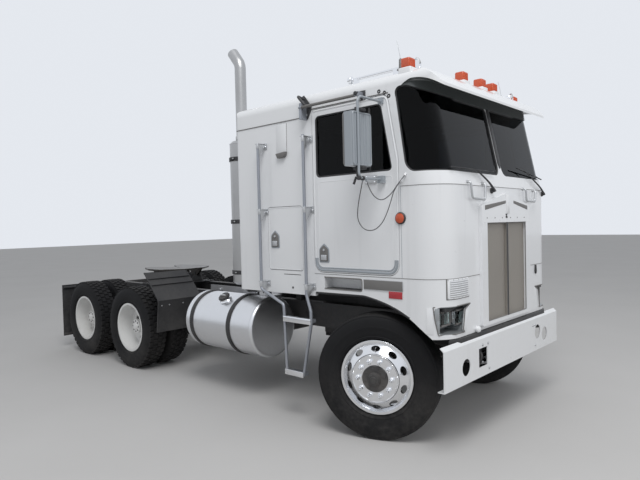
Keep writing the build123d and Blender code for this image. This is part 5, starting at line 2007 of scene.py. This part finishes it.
@dataclass
class Ladders(Assembly):
    """Wall plates, braces and treads of the ladders."""

    rail_y: float = 1.200
    rails: tuple[float, ...] = (-1.280, -0.650)
    heights: tuple[float, ...] = (1.285, 2.010, 2.670)

    def build(self) -> None:
        """Build the fittings of both ladders."""
        for name, side in SIDES:
            plates, bolts = [], []
            for x in self.rails:
                for z in self.heights:
                    plates += self._bracket(side, x, z)
                    bolts += [facing(at(x + shift, side * 1.1275, z), (0, side, 0)) for shift in (-0.034, 0.034)]
            self.make(Bench.joined, Slot.DULL, f"{name}_ladder_brackets", plates)
            self.make(Bench.scattered, Slot.CHROME, f"{name}_ladder_bolts", nut("ladder_bolt", 0.008, 0.006), bolts)
            for number, (back, front, z) in enumerate(((-0.957, -0.588, 0.970), (-0.947, -0.698, 0.455))):
                face = Bench.block(
                    f"{name}_step_face_{number}", at(back, side * 1.216, z - 0.030),
                    at(front, side * 1.222, z + 0.024), 0.002
                )
                teeth = [face]
                for row in range(int((front - back - 0.02) / 0.022)):
                    start = ahead(back + 0.014 + row * 0.022)
                    teeth.append(Bench.block(
                        f"tooth_{row}", (start, side * 1.150, z + 0.014), (start + 0.008, side * 1.216, z + 0.019),
                        0.0015, 1
                    ))
                self.make(Bench.joined, Slot.ALLOY, f"{name}_step_tread_{number}", teeth)

    def _bracket(self, side: int, x: float, z: float) -> list[Piece]:
        """One stand-off bracket with its brace.

        Args:
            side: -1 on the right-hand side, 1 on the left.
            x: Place along the vehicle, from the front axle.
            z: Height.

        Returns:
            Its pieces.
        """
        foot = Bench.block(
            "foot", at(x - 0.052, side * PLATE_Y, z - 0.030), at(x + 0.052, side * 1.1275, z + 0.034), 0.003
        )
        top = Bench.block(
            "top", at(x - 0.030, side * 1.122, z + 0.022), at(x + 0.030, side * 1.214, z + 0.028), 0.002
        )
        triangle = [at(x + 0.018, side * y, height) for y, height in (
            (1.124, z + 0.024), (1.206, z + 0.024), (1.206, z - 0.095), (1.194, z - 0.095), (1.124, z - 0.012)
        )]
        brace = Bench.slab("brace", triangle, (0.006, 0, 0), 0.001)
        clamp = Bench.rod("clamp", at(x, side * self.rail_y, z - 0.024), at(x, side * self.rail_y, z + 0.030), 0.0185)
        return [foot, top, brace, clamp]


@dataclass
class Mirrors(Assembly):
    """Glass, ribs, rims and clamps of the mirrors."""

    def build(self) -> None:
        """Build the fittings of both mirrors."""
        head = ((1.262, 2.342, 0.02), (1.493, 2.342, 0.02), (1.493, 2.758, 0.02), (1.262, 2.758, 0.02))
        for name, side in SIDES:
            body = f"{name}_door"
            ring = [at(0.0815, side * y, z) for y, z in rounded_outline(head)]
            self.make(Bench.slab, Slot.CHROME, f"{name}_mirror_glass", ring, (-0.0025, 0, 0), 0.0, body=body)
            self.make(Bench.tube, Slot.TRIM, f"{name}_mirror_rim", ring, 0.006, closed=True, sides=3, body=body)
            front = [at(0.181, side * y, z) for y, z in rounded_outline(head)]
            self.make(Bench.tube, Slot.SHELL, f"{name}_mirror_edge", front, 0.006, closed=True, sides=3, body=body)
            ribs = [
                Bench.tube(f"rib_{number}", [at(0.182, side * y, 2.352), at(0.182, side * y, 2.748)], 0.005, sides=3)
                for number, y in enumerate((1.318, 1.350, 1.398, 1.462))
            ]
            self.make(Bench.joined, Slot.SHELL, f"{name}_mirror_ribs", ribs, body=body)
            clamps = []
            for z in (2.318, 2.782):
                clamps.append(Bench.block(
                    "clamp", at(0.105, side * 1.352, z - 0.012), at(0.205, side * 1.408, z + 0.012), 0.004
                ))
                ends = [at(0.130, side * 1.380, z + shift) for shift in (-0.030, 0.030)]
                clamps.append(Bench.rod("pin", *ends, 0.016))
            stay = on_side([(0.130, 2.300), (0.130, 2.236), (0.188, 2.236)], side * 1.380)
            clamps.append(Bench.tube("stay", stay, 0.012, 0.02))
            clamps.append(Bench.tube("hook", [at(0.130, side * 1.400, 2.250), at(0.110, side * 1.410, 2.190)], 0.010))
            for y in (1.380, 1.430):
                ends = [at(0.190, side * (y + shift), 2.235) for shift in (0.0, 0.022)]
                clamps.append(Bench.rod("collar", *ends, 0.018))
            self.make(Bench.joined, Slot.IRON, f"{name}_mirror_clamps", clamps, body=body)
            self.make(
                Bench.block, Slot.DULL, f"{name}_mirror_foot", at(0.011, side * PLATE_Y, 2.205),
                at(0.130, side * 1.129, 2.280), 0.004, body=body
            )
            spots = [facing(at(x, side * 1.129, z), (0, side, 0)) for x in (0.028, 0.113) for z in (2.220, 2.265)]
            self.make(
                Bench.scattered, Slot.CHROME, f"{name}_mirror_bolts", nut("mirror_bolt", 0.008, 0.006), spots,
                body=body
            )


# Roof


@dataclass
class Roof(Assembly):
    """Lenses of the roof lamps, and the bells and feet of the horns."""

    lamps: Pairs = ((0.500, -0.310), (0.500, 0.050), (0.500, 0.300), (0.400, 1.030), (0.400, -1.030))
    lamp_z: float = 3.214
    horn_y: float = 0.935
    horn_z: float = 3.182

    def build(self) -> None:
        """Build the pieces of the roof."""
        lens = Bench.block("lamp_lens", (-0.043, -0.045, -0.084), (0.046, 0.045, 0.0015), 0.014, 3)
        ribs = [Bench.tube(f"lens_rib_{number}", [
            (0.0465, -0.034 + number * 0.017, -0.074), (0.0465, -0.034 + number * 0.017, -0.010)
        ], 0.0035, sides=2) for number in range(5)]
        lens = Bench.joined("lamp_lens", [lens, *ribs])
        seat = Bench.block("lamp_seat", (-0.060, -0.056, -0.160), (0.060, 0.056, -0.078), 0.010, 3)
        for number, (x, y) in enumerate(self.lamps):
            place = Matrix.Translation(at(x, y, self.lamp_z))
            self.wear(Bench.twin(lens, f"roof_lens_{number}", place), Slot.AMBER)
            self.wear(Bench.twin(seat, f"roof_lamp_seat_{number}", place), Slot.WHITE)
        bell = Bench.turned("horn_bell", [
            (0.330, 0.0185), (0.380, 0.026), (0.412, 0.037), (0.430, 0.050), (0.434, 0.056), (0.438, 0.054),
            (0.432, 0.046), (0.418, 0.036), (0.418, CORE), (0.330, CORE)
        ], 40)
        can = Bench.turned("horn_can", [
            (-0.300, CORE), (-0.300, 0.026), (-0.294, 0.031), (-0.276, 0.031), (-0.272, 0.034), (-0.262, 0.034),
            (-0.256, 0.028), (-0.250, 0.016), (-0.250, CORE)
        ], 40)
        for name, side in SIDES:
            place = Matrix.Translation((FRONT_AXLE_X, side * self.horn_y, self.horn_z))
            self.wear(Bench.twin(bell, f"{name}_horn_bell", place), Slot.CHROME)
            self.wear(Bench.twin(can, f"{name}_horn_can", place), Slot.CHROME)
            stub = Bench.turned(f"{name}_aerial_stub", [
                (0.0, CORE), (0.0, 0.026), (0.010, 0.026), (0.016, 0.015), (0.090, 0.013), (0.100, 0.006),
                (0.102, CORE)
            ], 24)
            Bench.placed(stub, at(0.300, side * 0.985, 3.146), (0, 0, 1))
            self.wear(stub, Slot.TRIM)
            line = on_side([(0.300, 3.240), (0.285, 3.330), (0.268, 3.400)], side * 0.985)
            self.make(Bench.tube, Slot.DULL, f"{name}_aerial_whip", line, 0.0028, 0.03)
        for model in (lens, seat, bell, can):
            bpy.data.objects.remove(model)


# Behind the cab


@dataclass
class Tanks(Assembly):
    """Strap liners, seams, filler necks and drain plugs of the fuel tanks."""

    carrier: str = "chassis"
    centre: tuple[float, float] = (0.870, 0.770)
    straps: tuple[float, ...] = (-1.850, -2.525)
    seams: tuple[float, ...] = (-1.508, -2.622)
    filler: float = -2.060
    filler_rise: float = 57.0

    def build(self) -> None:
        """Build the fittings of both tanks."""
        y, z = self.centre
        liner = Bench.turned("liner", [
            (-0.0245, 0.3372), (-0.0245, 0.3395), (-0.022, 0.3405), (0.022, 0.3405), (0.0245, 0.3395),
            (0.0245, 0.3372)
        ], 96)
        seam = Bench.turned("seam", [(-0.004, 0.3298), (-0.003, 0.3318), (0.003, 0.3318), (0.004, 0.3298)], 96)
        rise = math.radians(self.filler_rise)
        for name, side in SIDES:
            spots = [facing(at(x, side * y, z), (1, 0, 0)) for x in self.straps]
            rings = [Bench.twin(liner, f"liner_{number}", spot) for number, spot in enumerate(spots)]
            self.make(Bench.joined, Slot.RUBBER, f"{name}_strap_liners", rings)
            spots = [facing(at(x, side * y, z), (1, 0, 0)) for x in self.seams]
            seams = [Bench.twin(seam, f"seam_{number}", spot) for number, spot in enumerate(spots)]
            self.make(Bench.joined, Slot.TANK, f"{name}_tank_seams", seams)
            out = Vector((0, side * math.cos(rise), math.sin(rise)))
            foot = Vector(at(self.filler, side * y, z)) + out * 0.372
            collar = Bench.placed(Bench.turned(f"{name}_filler_collar", [
                (-0.044, 0.052), (-0.044, 0.072), (-0.036, 0.072), (-0.026, 0.060), (-0.010, 0.056), (-0.010, 0.052)
            ], 48), foot, out)
            self.wear(collar, Slot.ALLOY)
            cap = Bench.turned("cap", [
                (-0.012, 0.0525), (-0.012, 0.062), (0.010, 0.063), (0.018, 0.058), (0.020, 0.030), (0.026, 0.026),
                (0.027, CORE), (-0.002, CORE)
            ], 48)
            grips = Bench.scattered(
                "grips", Bench.block("grip", (-0.010, -0.004, 0.0), (0.012, 0.004, 0.007), 0.002),
                ring_of(12, 0.060, 0.0)
            )
            self.wear(Bench.placed(Bench.joined(f"{name}_filler_cap", [cap, grips]), foot, out), Slot.IRON)
            handle = Bench.placed(
                Bench.block(f"{name}_filler_handle", (0.020, -0.046, -0.008), (0.032, 0.046, 0.008), 0.005), foot, out
            )
            self.wear(handle, Slot.DULL)
            blocks = [
                Bench.block(
                    "tension", (ahead(x) - 0.014, side * (y - 0.130), z + 0.315),
                    (ahead(x) + 0.014, side * (y - 0.096), z + 0.352), 0.004
                ) for x in self.straps
            ]
            self.make(Bench.joined, Slot.DULL, f"{name}_strap_buckles", blocks)
            plug = Bench.placed(nut(f"{name}_drain_plug", 0.016, 0.014), at(-2.150, side * y, z - 0.330), (0, 0, -1))
            self.wear(plug, Slot.DULL)
        for model in (liner, seam):
            bpy.data.objects.remove(model)


@dataclass
class Exhaust(Assembly):
    """Bands, clamp bolts and rims of the silencer and its stack."""

    carrier: str = "chassis"
    x: float = -1.950
    y: float = -0.840
    clamps: tuple[float, ...] = (1.330, 1.900, 2.600)

    def build(self) -> None:
        """Build the fittings."""
        bands = []
        for z in self.clamps:
            band_ring = Bench.turned("band", [
                (0.002, 0.1482), (0.002, 0.1515), (0.006, 0.1530), (0.044, 0.1530), (0.048, 0.1515), (0.048, 0.1482)
            ], 64)
            bands.append(Bench.placed(band_ring, at(self.x, self.y, z), (0, 0, 1)))
            bands.append(Bench.block(
                "lug", (ahead(self.x) - 0.022, self.y - 0.176, z + 0.008),
                (ahead(self.x) + 0.022, self.y - 0.150, z + 0.042), 0.004
            ))
        self.make(Bench.joined, Slot.IRON, "silencer_bands", bands)
        spots = [facing((ahead(self.x) + 0.022, self.y - 0.164, z + 0.025), (1, 0, 0)) for z in self.clamps]
        self.make(Bench.scattered, Slot.DULL, "silencer_bolts", nut("silencer_bolt", 0.008, 0.012), spots)
        rolls = []
        for z in (1.247, 2.798):
            roll = Bench.turned("roll", [(-0.004, 0.1405), (-0.003, 0.1445), (0.003, 0.1445), (0.004, 0.1405)], 64)
            rolls.append(Bench.placed(roll, at(self.x, self.y, z), (0, 0, 1)))
        collar = Bench.turned(
            "collar", [(0.0, 0.062), (0.0, 0.070), (0.004, 0.072), (0.046, 0.072), (0.050, 0.070), (0.050, 0.062)], 48
        )
        rolls.append(Bench.placed(collar, at(self.x, self.y, 2.838), (0, 0, 1)))
        self.make(Bench.joined, Slot.EXHAUST, "silencer_rolls", rolls)


@dataclass
class Chassis(Assembly):
    """Bolts and small fittings of the frame, guards, deck and fifth wheel."""

    carrier: str = "chassis"
    stations: tuple[float, ...] = (-3.280, -2.030, -0.530, 0.370, 1.270)
    coupling_x: float = -1.980
    pivot_z: float = 1.130
    rail_y: float = 0.432
    feet: tuple[float, ...] = (-0.30, -0.22, -0.14, 0.14, 0.22, 0.30)
    tread_rows: int = 13
    tread_columns: int = 11

    def build(self) -> None:
        """Build the fittings."""
        for name, side in SIDES:
            spots = [
                facing((x + shift, side * self.rail_y, z), (0, side, 0)) for x in self.stations
                for shift in (-0.04, 0.04) for z in (0.800, 0.876, 0.952)
            ]
            self.make(Bench.scattered, Slot.CHASSIS, f"{name}_rail_bolts", nut("rail_bolt", 0.012, 0.010), spots)
            self._guard(name, side)
            for y in (0.200, 0.310):
                rim = rounded_outline((
                    (y - 0.048, 0.827, 0.012), (y + 0.048, 0.827, 0.012), (y + 0.048, 0.933, 0.012),
                    (y - 0.048, 0.933, 0.012)
                ))
                self.make(
                    Bench.tube, Slot.RUBBER, f"{name}_tail_rim_{round(y * 1000)}",
                    [(-3.330, side * across, up) for across, up in rim], 0.005, closed=True, sides=3
                )
            self.make(
                Bench.rod, Slot.IRON, f"{name}_pivot_cap", (self.coupling_x, side * 0.374, self.pivot_z),
                (self.coupling_x, side * 0.388, self.pivot_z), 0.034, 28, 0.004
            )
            feet = [facing((self.coupling_x + x, side * 0.405, 1.022), (0, 0, 1)) for x in self.feet]
            self.make(Bench.scattered, Slot.CHASSIS, f"{name}_bracket_bolts", nut("bracket_bolt", 0.013, 0.012), feet)
            self.make(Bench.tube, Slot.GREASE, f"{name}_plate_edge", [
                (self.coupling_x + x, side * y, 1.229) for x, y in ((0.19, 0.440), (-0.12, 0.440), (-0.42, 0.325))
            ], 0.008, 0.03, body="fifth_wheel")
        self.make(Bench.tube, Slot.IRON, "release_handle", [
            (self.coupling_x - 0.02, -0.10, 1.196), (self.coupling_x - 0.06, -0.36, 1.192),
            (self.coupling_x - 0.06, -0.520, 1.192), (self.coupling_x - 0.10, -0.545, 1.192)
        ], 0.008, 0.03, body="fifth_wheel")
        tread = []
        for row in range(self.tread_rows):
            for column in range(self.tread_columns):
                turn = Matrix.Rotation(math.radians(45 if (row + column) % 2 else -45), 4, "Z")
                tread.append(Matrix.Translation(at(-2.965 + row * 0.067, -0.500 + column * 0.1, 1.019)) @ turn)
        dash = Bench.block("tread_bar", (-0.016, -0.003, -0.002), (0.016, 0.003, 0.0015), 0.001, 1)
        self.make(Bench.scattered, Slot.DECK, "deck_tread", dash, tread)

    def _guard(self, name: str, side: int) -> None:
        """Ribs, clamps and bolts of a drive wheel guard and flap.

        Args:
            name: Side of the vehicle.
            side: -1 on the right-hand side, 1 on the left.
        """
        low, high = 0.600, 1.210
        folds = ((-3.218, 0.962), (-3.363, 1.146), (-3.440, 1.219))
        ribs = [Bench.tube("fold", [
            (ahead(x) + 0.010, side * low, z + 0.004), (ahead(x) + 0.010, side * high, z + 0.004)
        ], 0.009, sides=3) for x, z in folds]
        rim = [(-3.246, 0.566), (-3.196, 0.962), (-3.363, 1.144), (-3.512, 1.290)]
        ribs += [Bench.tube("rim", on_side(rim, side * y), 0.008, 0.03) for y in (1.217, 0.594)]
        self.make(Bench.joined, Slot.RUBBER, f"{name}_guard_ribs", ribs)
        spots = []
        for x, z in ((ahead(-3.205), 0.900), (-3.398, 0.962)):
            spots += [facing((x, side * y, z), (1, 0, 0)) for y in (0.66, 0.86, 1.06, 1.17)]
        self.make(Bench.scattered, Slot.DULL, f"{name}_guard_bolts", nut("guard_bolt", 0.010, 0.008), spots)
        self.make(
            Bench.block, Slot.CHASSIS, f"{name}_flap_weight", (-3.4075, side * 0.600, 0.200),
            (-3.398, side * 1.210, 0.235), 0.003
        )


@dataclass
class Front(Assembly):
    """Wipers and grab handles of the front."""

    def build(self) -> None:
        """Build the pieces."""
        for name, points in (
            ("right_grab", ((-0.706, 2.196), (-0.690, 2.060), (-0.460, 2.050), (-0.441, 2.190))),
            ("left_grab", ((0.426, 2.170), (0.440, 2.052), (0.650, 2.048), (0.675, 2.160))),
        ):
            first, last = (around(y, z, 0.0) for y, z in (points[0], points[-1]))
            path = [first, *(around(y, z, 0.034) for y, z in points), last]
            self.make(Bench.tube, Slot.DULL, f"{name}_handle", path, 0.010, 0.022)
            self.make(Bench.scattered, Slot.DULL, f"{name}_feet", rivet("grab_foot", 0.016), [
                facing(around(y, z, 0.001), (1, 0, 0)) for y, z in (points[0], points[-1])
            ])
        self._wiper("right", around(-0.265, 2.135, 0.0), around(-0.520, 2.292, 0.030), (
            around(-0.205, 2.302, 0.028), around(-0.950, 2.306, 0.028)
        ))
        self._wiper("left", around(0.960, 2.135, 0.0), around(0.640, 2.292, 0.030), (
            around(0.330, 2.370, 0.028), around(0.990, 2.290, 0.028)
        ))

    def _wiper(self, name: str, pivot: Point, tip: Point, blade: tuple[Point, Point]) -> None:
        """One wiper with its motor cap, arm, bow and blade.

        Args:
            name: Side of the vehicle.
            pivot: Foot of the arm on the skin.
            tip: Where the arm holds the blade.
            blade: Ends of the blade.
        """
        foot = Vector(pivot)
        cap = Bench.placed(Bench.turned(f"{name}_wiper_cap", [
            (0.0, CORE), (0.0, 0.026), (0.010, 0.026), (0.018, 0.018), (0.034, 0.016), (0.038, 0.010), (0.038, CORE)
        ], 32), foot, (1, 0, 0.05))
        self.wear(cap, Slot.BLACK)
        start = foot + Vector((0.028, 0, 0))
        middle = start.lerp(Vector(tip), 0.45) + Vector((0.016, 0, 0.0))
        self.make(Bench.tube, Slot.BLACK, f"{name}_wiper_arm", [start, middle, tip], 0.0075, 0.05)
        second = [start + Vector((0, 0.034, -0.004)), middle + Vector((0, 0.022, -0.004)), tip]
        self.make(Bench.tube, Slot.BLACK, f"{name}_wiper_link", second, 0.0045, 0.05)
        low, high = Vector(blade[0]), Vector(blade[1])
        run = [low.lerp(high, share / 8) for share in range(9)]
        bow = [
            low.lerp(high, 0.12), low.lerp(high, 0.3) + Vector((0.014, 0, 0)), Vector(tip),
            low.lerp(high, 0.7) + Vector((0.014, 0, 0)), low.lerp(high, 0.88)
        ]
        self.make(Bench.tube, Slot.BLACK, f"{name}_wiper_bow", bow, 0.0045, 0.03)
        self.make(Bench.tube, Slot.RUBBER, f"{name}_wiper_blade", run, 0.0060, sides=2)


# Inside the cab


@dataclass(frozen=True)
class Swell:
    """How a cushion is blown up."""

    voxel: float = 0.008
    pressure: float = 4.0
    cap: float = 0.016
    frames: int = 20


def plumped(piece: Piece, swell: Swell) -> Piece:
    """Blow a closed shape up into a cushion with a cloth simulation.

    Args:
        piece: Closed shape, slightly smaller than the cushion.
        swell: Size of the grid, pressure and limits.

    Returns:
        The cushion.
    """
    Bench.pick(piece)
    piece.data.remesh_voxel_size = swell.voxel
    bpy.ops.object.voxel_remesh()
    before = [vertex.co.copy() for vertex in piece.data.vertices]
    cloth = piece.modifiers.new("filling", "CLOTH")
    cloth.settings.use_pressure = True
    cloth.settings.uniform_pressure_force = swell.pressure
    cloth.settings.effector_weights.gravity = 0.0
    cloth.point_cache.frame_start = 1
    cloth.point_cache.frame_end = swell.frames
    for frame in range(1, swell.frames + 1):
        bpy.context.scene.frame_set(frame)
    Bench.pick(piece)
    bpy.ops.object.modifier_apply(modifier=cloth.name)
    bpy.context.scene.frame_set(1)
    for vertex, start in zip(piece.data.vertices, before):
        move = vertex.co - start
        if move.length > swell.cap:
            vertex.co = start + move.normalized() * swell.cap
    finer = piece.modifiers.new("finer", "SUBSURF")
    finer.levels = finer.render_levels = 1
    bpy.ops.object.modifier_apply(modifier=finer.name)
    return piece


@dataclass
class Interior(Assembly):
    """Seats, bunk mattress, gauges and levers."""

    seat_y: float = 0.745

    def build(self) -> None:
        """Build what shows through the glass."""
        squab = plumped(Bench.block("squab", at(-0.385, -0.222, 1.772), at(0.098, 0.222, 1.878), 0.030, 3), Swell())
        back = plumped(Bench.slab("back", [
            at(x, -0.218, z) for x, z in ((-0.412, 1.790), (-0.508, 1.790), (-0.508, 2.505), (-0.430, 2.505))
        ], (0, 0.436, 0), 0.028, 3), Swell())
        for model, outline in ((squab, self._top_piping()), (back, self._back_piping())):
            for name, side in SIDES:
                place = Matrix.Translation((0, side * self.seat_y, 0))
                cushion = Bench.twin(model, f"{name}_seat_{model.name}", place)
                self.wear(cushion, Slot.FABRIC, "cab", SOFT_SHADING)
                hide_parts("seats")
                piping = [
                    Bench.tube("piping", [place @ Vector(point) for point in line], 0.0035, 0.02, True, 3)
                    for line in outline
                ]
                self.make(Bench.joined, Slot.BLACK, f"{name}_{model.name}_piping", piping)
            bpy.data.objects.remove(model)
        for name, side in SIDES:
            folds = []
            for row in range(6):
                grow = 0.006 * (row % 2)
                folds.append(Bench.block(
                    "fold", at(-0.320 - grow, side * self.seat_y - 0.18 - grow, 1.455 + row * 0.050),
                    at(0.050 + grow, side * self.seat_y + 0.18 + grow, 1.505 + row * 0.050), 0.012, 2
                ))
            folds.append(Bench.block(
                "base", at(-0.335, side * self.seat_y - 0.20, 1.431), at(0.065, side * self.seat_y + 0.20, 1.456),
                0.006
            ))
            stand = self.make(Bench.joined, Slot.BLACK, f"{name}_seat_stand", folds)
            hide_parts("seats")
        mattress = plumped(
            Bench.block("mattress", at(-1.670, -0.980, 2.092), at(-0.820, 0.980, 2.205), 0.035, 3),
            Swell(voxel=0.016, cap=0.018)
        )
        self.wear(mattress, Slot.FABRIC, "cab", SOFT_SHADING)
        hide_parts("sleeper_bunk")
        board = self.make(
            Bench.block, Slot.TRIM, "bunk_board", at(-1.690, -1.000, 2.076), at(-0.800, 1.000, 2.090), 0.004
        )
        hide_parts("sleeper_bunk")
        self._dash()

    def _top_piping(self) -> list[list[Point]]:
        """Seams of the squab, with the seat's middle at y 0."""
        corners = ((-0.388, -0.224), (0.100, -0.224), (0.100, 0.224), (-0.388, 0.224))
        return [[at(x, y, z) for x, y in corners] for z in (1.790, 1.868)]

    def _back_piping(self) -> list[list[Point]]:
        """Seams of the backrest, with the seat's middle at y 0."""
        return [[at(x, y, z) for x, y, z in (
            (-0.412, -0.222, 1.800), (-0.412, 0.222, 1.800), (-0.430, 0.222, 2.500), (-0.430, -0.222, 2.500)
        )]]

    def _dash(self) -> None:
        """Gauges in front of the driver, and the gear lever."""
        lean = (-1, 0, 0.12)
        spots = [facing(at(0.440, y, z), lean) for y in (0.62, 0.72, 0.82, 0.92) for z in (1.990, 2.080)]
        rim = Bench.turned(
            "gauge_rim", [(0.0, 0.034), (0.008, 0.034), (0.010, 0.038), (0.006, 0.042), (0.0, 0.042)], 32
        )
        self.make(Bench.scattered, Slot.CHROME, "gauge_rims", rim, spots)
        dial = Bench.turned("gauge_dial", [(0.0, CORE), (0.003, CORE), (0.003, 0.034), (0.0, 0.034)], 32)
        self.make(Bench.scattered, Slot.BLACK, "gauge_dials", dial, spots)
        stick = Bench.tube(
            "gear_lever", [at(0.10, 0.330, 1.900), at(0.08, 0.360, 2.060), at(0.02, 0.400, 2.180)], 0.010, 0.06
        )
        knob = Bench.placed(Bench.turned("gear_knob", [
            (0.0, CORE), (0.0, 0.018), (0.020, 0.028), (0.045, 0.026), (0.058, 0.014), (0.062, CORE)
        ], 32), at(0.022, 0.399, 2.172), (-0.2, 0.1, 1))
        self.make(Bench.joined, Slot.BLACK, "gear_lever", [stick, knob])


ASSEMBLIES = (
    Tyres, WheelFittings, Grille, Headlamps, Skirt, Bumper, Front, Glazing, Doors, Sides,
    Ladders, Mirrors, Roof, Tanks, Exhaust, Chassis, Interior,
)


def main() -> None:
    """Build the looks around the frame, piece by piece."""
    logging.basicConfig(level=logging.INFO, format="%(name)s: %(message)s")
    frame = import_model()
    Studio().build()
    wardrobe = Wardrobe()
    wardrobe.dress_nodes(frame)
    MirrorCords().build(wardrobe)
    for assembly in ASSEMBLIES:
        LOG.info("building %s", assembly.__name__)
        assembly(wardrobe).build()
    bpy.context.scene.view_settings.view_transform = "Standard"


if __name__ == "__main__":
    main()
